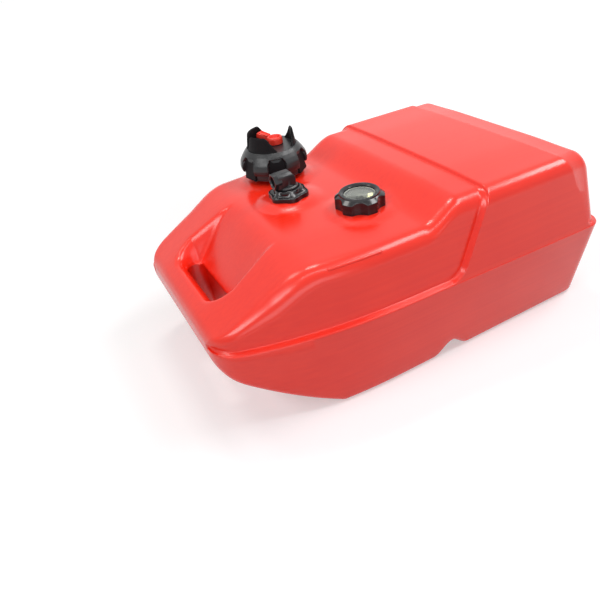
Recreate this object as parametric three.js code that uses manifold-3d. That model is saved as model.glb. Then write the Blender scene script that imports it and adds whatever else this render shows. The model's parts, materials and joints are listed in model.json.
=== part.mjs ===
// Portable outboard fuel tank, modelled in millimetres.
// +X runs from the carrying handle to the tail, +Z is up, and the origin lies on the ground under the
// middle of the tank. The blow-moulded tank carries a ratchet filler cap with a vent screw, a fuel
// pick-up with a swivelling elbow, and a level gauge whose float turns a twisted strip.
import * as THREE from 'three';
import { mergeVertices } from 'three/addons/utils/BufferGeometryUtils.js';
import Module from 'manifold-3d';

const wasm = await Module();
wasm.setup();

// Clearances and the one overrun that serves all cuts
const seatGap = 0.3;          // between pieces that rest on each other
const runningGap = 0.5;       // between pieces that slide or turn on each other
const overrun = 20;           // how far a cutting tool runs past what it cuts

// Tank moulding
const tank = {
  length: 531,
  width: 350,
  height: 216,                // top of the broad band
  wall: 4,
  partingHeight: 118,         // the ledge where the two mould halves meet
  taperLength: 224,           // nose to where the sides run parallel
  noseTaper: 38,
  noseCornerRadius: 28,
  tailCornerRadius: 24,
  upperDraft: 6.3,            // degrees
  bowDraft: 5.5,              // degrees, lower sides at the bow
  sternDraft: 12,             // degrees, lower sides at the tail
  bottomEdgeRadius: 10,
  topEdgeRadius: 21,
  crown: 1.5,
  bowLength: 137,             // nose to the flat of the bottom
  bowRise: 90,
  bowNoseRadius: 18,
  tailFootDraft: 2,           // the tail's foot stands this far inside its ledge
  tailHeadInset: 22.5,        // and its top edge this far
  tailTopRadius: 20,
};
const deck = {
  drop: 25,                   // from the band's top down to the deck
  noseRun: 112.5,             // nose to the bend where the deck starts
  noseRise: 11,               // parting line to where the nose slope ends at the handle
  noseLipRadius: 9,
  bendSoftening: 14,
  ledge: 8,                   // ledge between the lower sides and the deck body
  noseLedge: 3,
};
const shoulder = { run: 50, shelf: 31, drop: 3.5 };
const band = {
  ridge: 345.5,               // nose to the ridge, at the top
  rearSetback: 26.5,          // from the tail's ledge to the rear edge of the band
  rearLean: 38,               // the rear edge leans forward by this much up the side
  frontLean: 45,              // the ridge leans back by this much up the side
  leanStart: 95,              // the lean grows over this length in front of the ridge
  lip: 0.8,                   // parting line that shows on the band
  stepRun: 3,
  tailLedge: 5,
  rearStep: 1.5,
};
const groove = { depth: 17, halfWidth: 29, ahead: 2 };
const handHole = {
  barWidth: 28.5,             // nose to the hole, at the top face of the handle
  gap: 24,                    // fingers, at the seam
  halfWidth: 60,              // across, at the seam
  seamRise: 11,               // parting line to the seam inside the hole
  cornerRadius: 9,
  lowerDraft: 6,              // the hole widens by this much down to the keel, each way
  upperDraft: 3,
  lip: 13,                    // the rounded lip between the seam and the palm recess
  lipRise: 8,
  palmRun: 37,                // palm recess from the lip to its top end
  palmRise: 47,
  palmFlare: 7,
  palmRadius: 20,
};
const fillMark = { start: 137.5, length: 66, drop: 5, width: 3.2, proud: 0.8 };

// Filler: neck on the tank, plug and ratchet shell of the cap, vent screw
const filler = { fromNose: 199, fromSide: 71, collarRadius: 40, collarFoot: 50, collarHeight: 4 };
const fillerNeck = { bore: 24, wall: 4, height: 20 };
const capShell = {
  skirtRadius: 41.5, lobeRadius: 45, bellyRadius: 46.5, shoulderRadius: 35, wall: 3, hubWall: 2.5,
  lift: 10, lobeFoot: 8.5, bellyHeight: 15, shoulderHeight: 35.5, topWall: 4,
  bore: 37.5, grips: 6, gripDepth: 3.5, gripHeight: 29, gripTaper: 4, gripAngle: 31, gripLean: 11,
  gripStart: -108,
};
// Ears on the cap: [foot start, tip start, tip end, foot end] round the axis, in degrees
const ear = { spans: [[-188, -178, -121, -97], [65, 93, 153, 163], [-60, -28, 2, 32]],
  radius: 33.8, thickness: 4.5, height: 20, lean: 2.8, tipRound: 6 };
const capPlug = { flangeRadius: 28, flangeThickness: 3, depth: 20, wall: 3, rimWidth: 3 };
const capGasket = { thickness: 2, width: 3.4 };
const vent = {
  offsetX: 6.5, offsetY: 0.5, hubRadius: 10.5, hubHeight: 10, stemRadius: 4, dishRadius: 7.5, dishDepth: 4,
  armLength: 28, armWidth: 10, armLow: 1, armHeight: 6.5, forkLength: 13, forkGap: 2.6, armAngle: 122,
  armTilt: 15,
  sealRadius: 7, sealThickness: 2.5,
};

// Fuel pick-up
const pickup = { fromNose: 179.5, fromSide: 151, bossRadius: 28, bossFoot: 38, bossHeight: 5 };
const pickupNeck = { bore: 13.5, wall: 5, height: 7 };
const pickupNut = {
  lobes: 6, lobeRadius: 26.5, waist: 3, flangeHeight: 7.5, domeRadius: 21, topWall: 2.6, mouth: 14.6,
  firstAngle: -100, edgeRadius: 1.5,
};
const pickupBody = { flange: 2, socketDepth: 8, length: 26, spigotBore: 9.2 };
const pickupGasket = { thickness: 1.5 };
const elbow = {
  collarRadius: 14, collarHeight: 3.4, stemRadius: 9, headHeight: 20, headWidth: 18, headBack: 9,
  axisHeight: 11.5, reach: 15, hexWidth: 19, hexLength: 10, bore: 5, outletBore: 6.6,
  chamfer: 4, spigotLength: 14,
};
const oRing = { thickness: 1.6, setback: 6 };
const dipTube = { radius: 5, bore: 3.6, floorGap: 12 };
const screen = {
  radius: 9, wall: 1.6, height: 12, floorGap: 2, windows: 6, windowWidth: 5, windowShare: 0.5,
};

// Level gauge
const gauge = { fromNose: 236, fromSide: 116, bossRadius: 33, bossFoot: 41, bossHeight: 3 };
const gaugeNeck = { bore: 21.4, wall: 3, height: 8 };
const gaugeRing = {
  radius: 30.6, rimRadius: 24.7, height: 20, chamfer: 6, window: 18.8, lipDepth: 2.2, wallTop: 2.2,
  scallops: 6, scallopRadius: 17, scallopDepth: 4, scallopStart: -122, rimWidth: 2.2,
};
const gaugeGasket = { thickness: 1.5 };
const gaugeHead = { flange: 2, cupRadius: 18.8, wall: 2, depth: 16, floor: 2.5 };
const gaugeLens = { radius: 22.5, thickness: 2 };
const gaugeDial = { thickness: 1, depth: 3.2, hole: 4.2 };
const gaugePointer = { thickness: 0.8, hub: 2.8, radius: 15.5, sweep: 42, angle: -38 };
const gaugeFrame = { rodRadius: 1.8, rodSpread: 12.5, footRadius: 16, footThickness: 3, floorGap: 5,
  topThickness: 3 };
const strip = { width: 8, thickness: 1.2, twist: 360, stubRadius: 1.6, stubLength: 3 };
const floatBody = { radius: 17.5, height: 30, edge: 2 };

// Shares chosen by hand
const taperPowerShare = 2.2;
const bowShares = [0.8, 0.2];
const roundShares = [0, 0.04, 0.15, 0.33, 0.58, 1];
const capShoulderShares = [[0.3, 0.1], [0.58, 0.4], [0.8, 0.68], [0.93, 0.89], [1, 1]];  // height, narrowing
const noseSlopeShares = [0.22, 0.5, 0.74, 0.9, 1, 1.1];
const deckShares = [0.25, 0.62, 1];
const leanShares = [0.21, 0.4, 0.55, 0.66, 0.74, 0.82, 0.9, 1];
const leanPowerShare = 1.35;
const barShares = [0, 0.25, 0.5, 0.75, 1];
const bandShares = [0.02, 0.045, 0.075, 0.105, 0.135, 0.165, 0.3, 0.5, 0.75, 1];

// Where things come on the tank
const nose = -tank.length / 2;
const tail = tank.length / 2;
const bendX = nose + deck.noseRun;
const bandRearLedge = tail - band.rearSetback;
const bandRearTop = bandRearLedge - band.rearLean;
const ridgeTop = nose + band.ridge;
const ridgeLedge = ridgeTop - band.frontLean;
const leanFrom = ridgeLedge - band.leanStart;
const shoulderHead = ridgeTop - shoulder.shelf;
const shoulderFoot = shoulderHead - shoulder.run;
const grooveX = ridgeLedge - groove.ahead;
const tailHead = tail - tank.tailHeadInset;
const deckHeight = tank.height - deck.drop;
const shoulderHeight = tank.height - shoulder.drop;
const noseHeight = tank.partingHeight + deck.noseRise;
const fillerSpot = { x: nose + filler.fromNose, y: tank.width / 2 - filler.fromSide };
const pickupSpot = { x: nose + pickup.fromNose, y: tank.width / 2 - pickup.fromSide };
const gaugeSpot = { x: nose + gauge.fromNose, y: gauge.fromSide - tank.width / 2 };

const radians = THREE.MathUtils.degToRad;
const clamp01 = (t) => Math.min(1, Math.max(0, t));
const mix = THREE.MathUtils.lerp;
const ease = (t) => { const s = clamp01(t); return s * s * (3 - 2 * s); };

// How far a rounded edge has fallen at a distance from the face that it meets
function edgeDrop(distance, radius) {
  const rest = radius - Math.max(0, distance);
  return rest > 0 ? radius - Math.sqrt(Math.max(0, radius * radius - rest * rest)) : 0;
}

// Points of the arc that rounds a corner between two straight runs
function softCorner(from, corner, to, radius, steps) {
  const a = from.clone().sub(corner);
  const b = to.clone().sub(corner);
  const half = a.angleTo(b) / 2;
  const setback = Math.min(radius / Math.tan(half), a.length() / 2.1, b.length() / 2.1);
  const start = corner.clone().add(a.setLength(setback));
  const end = corner.clone().add(b.setLength(setback));
  const curve = new THREE.QuadraticBezierCurve3(
    start, corner.clone().lerp(start.clone().lerp(end, 0.5), 0.18), end);
  return curve.getPoints(steps);
}

// Solid skin over a row of closed rings with as many points each
function loft(rings) {
  const count = rings[0].length;
  const points = rings.flat();
  const faces = [];
  for (let i = 0; i + 1 < rings.length; i++) {
    for (let j = 0; j < count; j++) {
      const k = (j + 1) % count;
      const a = i * count + j, b = i * count + k, c = a + count, d = b + count;
      faces.push(a, b, d, a, d, c);
    }
  }
  for (const [ring, turn] of [[0, 1], [rings.length - 1, 0]]) {
    const middle = rings[ring].reduce((sum, p) => sum.add(p), new THREE.Vector3()).divideScalar(count);
    const hub = points.push(middle) - 1;
    for (let j = 0; j < count; j++) {
      const a = ring * count + j, b = ring * count + ((j + 1) % count);
      faces.push(...(turn ? [hub, b, a] : [hub, a, b]));
    }
  }
  const geometry = new THREE.BufferGeometry().setFromPoints(points);
  geometry.setIndex(faces);
  return facingOut(geometry);
}

function facingOut(geometry) {
  const at = geometry.attributes.position;
  const index = geometry.index;
  const [a, b, c] = [new THREE.Vector3(), new THREE.Vector3(), new THREE.Vector3()];
  let volume = 0;
  for (let i = 0; i < index.count; i += 3) {
    a.fromBufferAttribute(at, index.getX(i));
    b.fromBufferAttribute(at, index.getX(i + 1));
    c.fromBufferAttribute(at, index.getX(i + 2));
    volume += a.dot(b.cross(c));
  }
  if (volume < 0) index.array.reverse();
  return geometry;
}

function bare(geometry) {
  const copy = geometry.clone();
  for (const name of Object.keys(copy.attributes)) if (name !== 'position') copy.deleteAttribute(name);
  return mergeVertices(copy);
}

function solid(geometry) {
  const merged = bare(geometry);
  return new wasm.Manifold(new wasm.Mesh({
    numProp: 3,
    vertProperties: new Float32Array(merged.attributes.position.array),
    triVerts: new Uint32Array(merged.index.array),
  }));
}

function shapeOf(manifold) {
  const mesh = manifold.getMesh();
  const geometry = new THREE.BufferGeometry();
  geometry.setAttribute('position', new THREE.BufferAttribute(new Float32Array(mesh.vertProperties), 3));
  geometry.setIndex(new THREE.BufferAttribute(new Uint32Array(mesh.triVerts), 1));
  return geometry;
}

const join = (first, ...rest) => shapeOf(rest.reduce((sum, g) => sum.add(solid(g)), solid(first)));
const cut = (first, ...rest) => shapeOf(rest.reduce((sum, g) => sum.subtract(solid(g)), solid(first)));
const place = (geometry, x, y, z = 0) => geometry.clone().translate(x, y, z);

// Turned shape about +Z from [radius, height] pairs that start and end on the axis, or close
function turned(profile, segments = 32) {
  const points = profile.map(([radius, height]) => new THREE.Vector2(radius, height));
  return facingOut(bare(new THREE.LatheGeometry(points, segments).rotateX(Math.PI / 2)));
}

const drum = (radius, low, high, segments = 32) => turned(
  [[0, low], [radius, low], [radius, high], [0, high]], segments);
const ringDrum = (inner, outer, low, high, segments = 32) => turned(
  [[inner, low], [outer, low], [outer, high], [inner, high], [inner, low]], segments);

// Flat outline raised from one height to another
function raised(outline, low, high) {
  const shape = new THREE.Shape(outline.map(([x, y]) => new THREE.Vector2(x, y)));
  return new THREE.ExtrudeGeometry(shape, { depth: high - low, bevelEnabled: false }).translate(0, 0, low);
}

const polar = (radius, degrees) => [
  radius * Math.cos(radians(degrees)), radius * Math.sin(radians(degrees))];

// Half width of the plan outline on the parting line; skin moves it in for the cavity
function ledgeHalf(x, skin) {
  const run = clamp01((nose + tank.taperLength - x) / tank.taperLength);
  return tank.width / 2 - skin - tank.noseTaper * run ** taperPowerShare
    - edgeDrop(x - nose - skin, tank.noseCornerRadius - skin)
    - edgeDrop(tail - skin - x, tank.tailCornerRadius - skin);
}

// Underside: a rising bow, the flat bottom and the groove across it
function keelHeight(x, skin) {
  const run = clamp01((nose + tank.bowLength - x) / tank.bowLength);
  const bow = tank.bowRise * (bowShares[0] * run + bowShares[1] * run * run);
  const dip = clamp01(Math.abs(x - grooveX) / groove.halfWidth);
  return skin + bow + edgeDrop(x - nose - skin, tank.bowNoseRadius - skin)
    + groove.depth * (1 + Math.cos(Math.PI * dip)) / 2;
}

// Top: nose slope, deck, shoulder, shelf, band and the tail's rounded edge
function topHeight(x, skin) {
  const slope = (deckHeight - noseHeight) / deck.noseRun;
  const past = x - bendX, soft = deck.bendSoftening;
  const fall = past < -soft ? -past : past < soft ? (soft - past) ** 2 / (4 * soft) : 0;
  return deckHeight - skin - slope * fall
    + (shoulderHeight - deckHeight) * ease((x - shoulderFoot) / shoulder.run)
    + (tank.height - shoulderHeight) * clamp01((x - ridgeTop) / band.stepRun)
    - band.rearStep * clamp01((x - bandRearTop) / band.stepRun)
    - edgeDrop(x - nose - skin, deck.noseLipRadius - skin)
    - edgeDrop(tailHead - skin - x, tank.tailTopRadius - skin);
}

// Ledge on the parting line in front of the ridge, along the band and behind it
function ledgeWidth(x) {
  if (x <= ridgeLedge) return deck.ledge;
  return x <= bandRearLedge ? band.lip : band.tailLedge;
}

// A station leans: it crosses the parting line at ledgeX and the top face at topX
function tankRing(ledgeX, topX, skin, arcSteps) {
  const parting = tank.partingHeight - skin;
  const atNose = 1 - clamp01((ledgeX - nose) / tank.noseCornerRadius);
  const atTail = 1 - clamp01((tail - ledgeX) / tank.tailCornerRadius);
  const upperX = ledgeX + deck.noseLedge * atNose - band.tailLedge * atTail;
  const keel = keelHeight(ledgeX, skin);
  const top = topHeight(topX, skin);
  const wide = ledgeHalf(ledgeX, skin);
  const ledge = ledgeWidth(ledgeX);
  const along = clamp01((ledgeX - nose - tank.bowLength) / (tank.length - tank.bowLength));
  const lowerDraft = Math.tan(radians(mix(tank.bowDraft, tank.sternDraft, along)));
  const foot = wide - (parting - keel) * lowerDraft;
  const head = wide - ledge - (top - parting) * Math.tan(radians(tank.upperDraft));
  const leaned = (y, z) => {
    const x = z > parting
      ? mix(upperX, topX, clamp01((z - parting) / (top - parting)))
      : ledgeX - tank.tailFootDraft * atTail * (parting - z) / parting;
    return new THREE.Vector3(x, y, z);
  };
  const flat = (y, z) => new THREE.Vector3(0, y, z);
  const half = [
    flat(0, keel),
    ...softCorner(flat(0, keel), flat(foot, keel), flat(wide, parting), tank.bottomEdgeRadius, arcSteps - 1),
    flat(wide, parting - band.lip),
    flat(wide - band.lip, parting),
    flat(wide - ledge - band.lip, parting),
    ...softCorner(flat(wide - ledge - band.lip, parting), flat(head, top), flat(0, top),
      tank.topEdgeRadius, arcSteps),
    flat(0, top + tank.crown * clamp01((top - parting) / tank.topEdgeRadius)),
  ].map((p) => leaned(p.y, p.z));
  const mirrored = half.slice(1, -1).reverse().map((p) => new THREE.Vector3(p.x, -p.y, p.z));
  return [...half, ...mirrored];
}

// Stations of the whole loft, from the nose's rounded end to the tail's
function tankStations(skin) {
  const noseEnd = nose + skin, tailEnd = tail - skin;
  const noseRound = tank.noseCornerRadius - skin, tailRound = tank.tailCornerRadius - skin;
  const upright = [
    ...roundShares.map((share) => noseEnd + share * noseRound),
    ...noseSlopeShares.map((share) => mix(noseEnd + noseRound, bendX, share)),
    ...deckShares.map((share) => mix(bendX + deck.bendSoftening, leanFrom, share)),
  ].map((x) => [x, x]);
  const leaning = leanShares.map((share) => [
    mix(leanFrom, ridgeLedge, share), mix(leanFrom, ridgeTop, share ** (1 / leanPowerShare))]);
  const onBand = [band.stepRun / (bandRearLedge - ridgeLedge), ...bandShares].map((share) => [
    mix(ridgeLedge, bandRearLedge, share), mix(ridgeTop, bandRearTop, share)]);
  const behind = [bandRearLedge + band.rearStep, bandRearTop + band.stepRun];
  const tailEndRounds = [...roundShares].reverse().filter((share) => share < 1).map((share) => [
    tailEnd - share * tailRound, tailHead - skin - share * (tank.tailTopRadius - skin)]);
  return [...upright, ...leaning, ...onBand, behind, ...tailEndRounds];
}

const tankOutside = () => loft(tankStations(0).map(([a, b]) => tankRing(a, b, 0, 5)));

// The cavity follows the outside at the wall's thickness, with every second station
const tankInside = () => loft(tankStations(tank.wall)
  .filter((station, i, all) => i % 2 === 0 || i === all.length - 1)
  .map(([a, b]) => tankRing(a, b, tank.wall, 3)));

// Rounded rectangle across the tank at one height
function holeRing(front, back, halfWidth, z, radius, steps) {
  const r = Math.min(radius, (back - front) / 2.2);
  const points = [];
  const corners = [[back - r, halfWidth - r], [front + r, halfWidth - r],
    [front + r, r - halfWidth], [back - r, r - halfWidth]];
  corners.forEach(([x, y], corner) => {
    for (let i = 0; i <= steps; i++) {
      const [dx, dy] = polar(r, 90 * (corner + i / steps));
      points.push(new THREE.Vector3(x + dx, y + dy, z));
    }
  });
  return points;
}

// The hand hole through the nose with the palm recess behind it; grow is the wall left around it
function handOpening(grow) {
  const h = handHole;
  const seam = tank.partingHeight + h.seamRise;
  const front = nose + h.barWidth + h.upperDraft - grow;
  const back = nose + h.barWidth + h.upperDraft + h.gap + grow;
  const levels = [
    [front - h.lowerDraft, back + h.lowerDraft, h.halfWidth + h.lowerDraft, -overrun, h.cornerRadius],
    [front, back, h.halfWidth, seam - grow, h.cornerRadius],
    [front - h.upperDraft / 3, back + h.lip / 3, h.halfWidth + h.upperDraft / 3,
      seam + h.lipRise / 2 - grow, h.cornerRadius],
    [front - h.upperDraft / 2, back + h.lip, h.halfWidth + h.upperDraft / 2,
      seam + h.lipRise - grow, h.cornerRadius],
    [front - h.upperDraft, back + h.lip + h.palmRun / 2, h.halfWidth + h.palmFlare,
      seam + h.lipRise + h.palmRise / 2 - grow, (h.cornerRadius + h.palmRadius) / 2],
    [front - h.upperDraft, back + h.lip + h.palmRun, h.halfWidth + h.palmFlare,
      seam + h.lipRise + h.palmRise - grow, h.palmRadius],
    [front - h.upperDraft, back + h.lip + 2 * h.palmRun, h.halfWidth + h.palmFlare,
      seam + h.lipRise + 2 * h.palmRise - grow, h.palmRadius],
  ];
  return loft(levels.map(([a, b, w, z, r]) => holeRing(a, b, w + grow, z, r + grow, 3)));
}

// Moulded boss with a sloping foot and the neck that stands on it
function neckStand(at, foot, radius, height, neck) {
  const outer = neck.bore + neck.wall;
  const low = deckHeight - tank.wall / 2;
  const seat = deckHeight + height;
  return place(turned([[0, low], [foot, low], [foot, deckHeight],
    [mix(foot, radius, 0.6), mix(deckHeight, seat, 0.75)], [radius, seat], [outer, seat],
    [outer, seat + neck.height], [0, seat + neck.height]], 28), at.x, at.y);
}

const fillerSeat = deckHeight + filler.collarHeight;
const fillerTop = fillerSeat + fillerNeck.height;
const pickupSeat = deckHeight + pickup.bossHeight;
const pickupTop = pickupSeat + pickupNeck.height;
const gaugeSeat = deckHeight + gauge.bossHeight;
const gaugeTop = gaugeSeat + gaugeNeck.height;

// Raised bar that marks the fill height: it follows the near edge of the deck body
function fillBar() {
  const f = fillMark;
  const barHeight = deckHeight - f.drop;
  const stops = barShares.map((share) => nose + f.start + f.length * share);
  return loft(stops.map((x) => {
    const side = tankRing(x, x, 0, 6).filter((p) => p.y < 0);
    const k = side.findIndex((p, i) => i > 0 && (p.z - barHeight) * (side[i - 1].z - barHeight) <= 0);
    const [a, b] = [side[k - 1], side[k]];
    const at = a.clone().lerp(b, (barHeight - a.z) / (b.z - a.z));
    const slope = b.clone().sub(a).setX(0).normalize();
    const out = new THREE.Vector3(0, slope.z, -slope.y).multiplyScalar(slope.z > 0 ? -1 : 1);
    return [[-1, -1], [1, -1], [1, 1], [-1, 1]].map(([w, h]) => at.clone()
      .addScaledVector(slope, w * f.width / 2).addScaledVector(out, h * f.proud));
  }));
}

function tankShell() {
  const bores = [
    place(drum(fillerNeck.bore, tank.partingHeight, fillerTop + overrun, 28), fillerSpot.x, fillerSpot.y),
    place(drum(pickupNeck.bore, tank.partingHeight, pickupTop + overrun, 20), pickupSpot.x, pickupSpot.y),
    place(drum(gaugeNeck.bore, tank.partingHeight, gaugeTop + overrun, 28), gaugeSpot.x, gaugeSpot.y),
  ];
  const outer = solid(tankOutside())
    .add(solid(neckStand(fillerSpot, filler.collarFoot, filler.collarRadius, filler.collarHeight,
      fillerNeck)))
    .add(solid(neckStand(pickupSpot, pickup.bossFoot, pickup.bossRadius, pickup.bossHeight, pickupNeck)))
    .add(solid(neckStand(gaugeSpot, gauge.bossFoot, gauge.bossRadius, gauge.bossHeight, gaugeNeck)))
    .add(solid(fillBar()));
  const cavity = solid(tankInside()).subtract(solid(handOpening(tank.wall)));
  const hollow = bores.reduce((sum, bore) => sum.add(solid(bore)), cavity);
  return shapeOf(outer.subtract(hollow).subtract(solid(handOpening(0))));
}

// Filler cap, built about the neck's axis with the deck's level as zero
const capFoot = filler.collarHeight + capShell.lift - filler.collarHeight / 2;
const capTop = capFoot + capShell.shoulderHeight;
const neckTop = filler.collarHeight + fillerNeck.height;
const capCeiling = capTop - capShell.topWall;
const plugFlangeLow = neckTop + capGasket.thickness + 2 * seatGap;

function capShellBody() {
  const c = capShell;
  const belly = capFoot + c.bellyHeight;
  const outer = [[0, capFoot], [c.lobeRadius, capFoot], [c.lobeRadius, capFoot + c.lobeFoot],
    [c.bellyRadius, belly],
    ...capShoulderShares.map(([up, narrowing]) => [mix(c.bellyRadius, c.shoulderRadius, narrowing),
      mix(belly, capTop, up)]), [0, capTop]];
  const hub = capPlug.flangeRadius + runningGap;
  const inner = [[0, -overrun], [c.bore, -overrun], [c.bore, mix(belly, capTop, 0.35)],
    [c.shoulderRadius - c.wall / 2, capCeiling], [hub + c.hubWall, capCeiling],
    [hub + c.hubWall, plugFlangeLow], [hub, plugFlangeLow], [hub, capCeiling], [0, capCeiling]];
  return cut(turned(outer, 42), turned(inner, 28));
}

// Undercut below the lobes, which leaves the grips' panels standing down to the foot
function lobeUndercut() {
  const c = capShell;
  const top = capFoot + c.lobeFoot, out = c.bellyRadius + overrun;
  const ring = turned([[c.skirtRadius, -overrun], [out, -overrun], [out, top], [c.skirtRadius, top],
    [c.skirtRadius, -overrun]], 42);
  const half = c.bellyRadius * Math.tan(radians(c.gripAngle) / 2);
  const panel = raised([[0, -half], [out + overrun, -half], [out + overrun, half], [0, half]],
    -2 * overrun, top + overrun);
  const panels = Array.from({ length: c.grips }, (_, i) => panel.clone()
    .rotateZ(radians(c.gripStart + i * 360 / c.grips)));
  return cut(ring, ...panels);
}

// Grip recesses round the belly: flat-backed pockets with their upper corners cut off
function gripPocket(angle) {
  const c = capShell;
  const half = c.bellyRadius * Math.tan(radians(c.gripAngle) / 2);
  const low = -overrun, high = c.gripHeight;
  const outline = [[-half, low], [half, low], [half, high - c.gripTaper * 1.5], [half - c.gripTaper, high],
    [c.gripTaper - half, high], [-half, high - c.gripTaper * 1.5]];
  return raised(outline, 0, overrun)
    .rotateX(Math.PI / 2).rotateZ(Math.PI / 2)
    .rotateY(-radians(c.gripLean))
    .translate(c.bellyRadius - c.gripDepth, 0, capFoot)
    .rotateZ(radians(angle));
}

// Upright ear: a curved plate that narrows to its tip and leans in a little
function earPlate([footStart, tipStart, tipEnd, footEnd]) {
  const e = ear;
  const rows = 4, columns = 8;
  const rings = [];
  for (let i = 0; i <= columns; i++) {
    const across = i / columns;
    const tipArc = radians(tipEnd - tipStart) * e.radius;
    const round = edgeDrop(Math.min(across, 1 - across) * tipArc, e.tipRound);
    const ring = [];
    for (const side of [0, 1]) {
      for (let j = 0; j <= rows; j++) {
        const up = side ? 1 - j / rows : j / rows;
        const angle = mix(mix(footStart, tipStart, up), mix(footEnd, tipEnd, up), across);
        const z = capTop - capShell.topWall / 2 + up * (e.height + capShell.topWall / 2 - round);
        const radius = e.radius - e.lean * up - (side ? mix(e.thickness, e.thickness / 2, up) : 0);
        const [x, y] = polar(radius, angle);
        ring.push(new THREE.Vector3(x, y, z));
      }
    }
    rings.push(ring);
  }
  return loft(rings);
}

function capOutside() {
  const grips = Array.from({ length: capShell.grips }, (_, i) => gripPocket(capShell.gripStart
    + i * 360 / capShell.grips));
  const ears = ear.spans.map(earPlate);
  const body = join(cut(capShellBody(), lobeUndercut(), ...grips), ...ears);
  const stemHole = place(drum(vent.stemRadius + runningGap, capCeiling - overrun, capTop + overrun, 20),
    vent.offsetX, vent.offsetY);
  return cut(body, stemHole);
}

// Threaded plug inside the neck, open below, with a rim that carries the shell
function capPlugBody() {
  const p = capPlug;
  const flangeTop = plugFlangeLow + p.flangeThickness;
  const radius = fillerNeck.bore - runningGap;
  const rimTop = capCeiling - seatGap;
  const body = turned([[0, neckTop], [0, flangeTop], [p.flangeRadius - 2 * p.rimWidth, flangeTop],
    [p.flangeRadius - 2 * p.rimWidth, rimTop], [p.flangeRadius - p.rimWidth, rimTop],
    [p.flangeRadius - p.rimWidth, flangeTop], [p.flangeRadius, flangeTop], [p.flangeRadius, plugFlangeLow],
    [radius, plugFlangeLow], [radius, neckTop - p.depth], [radius - p.wall, neckTop - p.depth],
    [radius - p.wall, neckTop], [0, neckTop]], 28);
  return cut(body, place(drum(vent.stemRadius, 0, capTop, 16), vent.offsetX, vent.offsetY));
}

function ventKnob() {
  const v = vent;
  const low = seatGap;
  const hub = turned([[0, low], [v.hubRadius, low], [v.hubRadius, v.hubHeight - v.dishDepth / 2],
    [v.hubRadius - v.dishDepth / 2, v.hubHeight], [v.dishRadius, v.hubHeight],
    [v.dishRadius - v.dishDepth / 2, v.hubHeight - v.dishDepth], [0, v.hubHeight - v.dishDepth]], 20);
  const stem = drum(v.stemRadius, -capShell.topWall, v.hubHeight / 2, 16);
  const half = v.armWidth / 2;
  const arm = raised([[0, -half], [v.armLength - v.forkLength, -half * 0.8], [v.armLength, -half * 1.15],
    [v.armLength, -v.forkGap / 2], [v.armLength - v.forkLength, -v.forkGap / 2],
    [v.armLength - v.forkLength, v.forkGap / 2], [v.armLength, v.forkGap / 2], [v.armLength, half * 1.15],
    [v.armLength - v.forkLength, half * 0.8], [0, half]], v.armLow, v.armLow + v.armHeight);
  arm.rotateY(-radians(v.armTilt)).rotateZ(radians(v.armAngle));
  const dish = drum(v.dishRadius, v.hubHeight - v.dishDepth, capTop, 20);
  return join(cut(arm, dish), hub, stem);
}

// Fuel pick-up, built about its neck's axis with the deck's level as zero
const pickupRim = pickup.bossHeight + pickupNeck.height;
const bodyFlangeLow = pickupRim + pickupGasket.thickness + 2 * seatGap;
const bodyFlangeTop = bodyFlangeLow + pickupBody.flange;
const nutCeiling = bodyFlangeTop + seatGap;
const nutTop = nutCeiling + pickupNut.topWall;

function pickupNutBody() {
  const n = pickupNut;
  const neckOuter = pickupNeck.bore + pickupNeck.wall;
  const steps = 6 * n.lobes;
  const outline = Array.from({ length: steps }, (_, i) => {
    const swing = Math.cos(2 * Math.PI * i * n.lobes / steps);
    return polar(n.lobeRadius - n.waist * (1 - swing) / 2, n.firstAngle + 360 * i / steps);
  });
  const low = pickup.bossHeight + seatGap;
  const shape = new THREE.Shape(outline.map(([x, y]) => new THREE.Vector2(x, y)));
  const flange = new THREE.ExtrudeGeometry(shape, {
    depth: n.flangeHeight - 2 * n.edgeRadius, bevelEnabled: true, bevelSegments: 1,
    bevelThickness: n.edgeRadius, bevelSize: n.edgeRadius, bevelOffset: -n.edgeRadius,
  }).translate(0, 0, low + n.edgeRadius);
  const dome = turned([[0, low], [n.domeRadius + n.edgeRadius, low], [n.domeRadius, nutTop - n.edgeRadius],
    [n.domeRadius - n.edgeRadius, nutTop], [0, nutTop]], 28);
  return cut(join(flange, dome), drum(neckOuter + runningGap, -overrun, nutCeiling, 28),
    drum(n.mouth, 0, nutTop + overrun, 28));
}

function pickupBodyShape() {
  const b = pickupBody;
  const outer = pickupNeck.bore - runningGap;
  const low = bodyFlangeTop - b.length;
  const flangeRadius = pickupNeck.bore + pickupNeck.wall - runningGap;
  return turned([[b.spigotBore, bodyFlangeTop], [b.spigotBore, bodyFlangeTop - elbow.spigotLength - seatGap],
    [dipTube.bore, bodyFlangeTop - elbow.spigotLength - seatGap], [dipTube.bore, low + b.socketDepth],
    [dipTube.radius + seatGap, low + b.socketDepth], [dipTube.radius + seatGap, low],
    [outer, low], [outer, bodyFlangeLow], [flangeRadius, bodyFlangeLow], [flangeRadius, bodyFlangeTop],
    [b.spigotBore, bodyFlangeTop]], 22);
}

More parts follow.
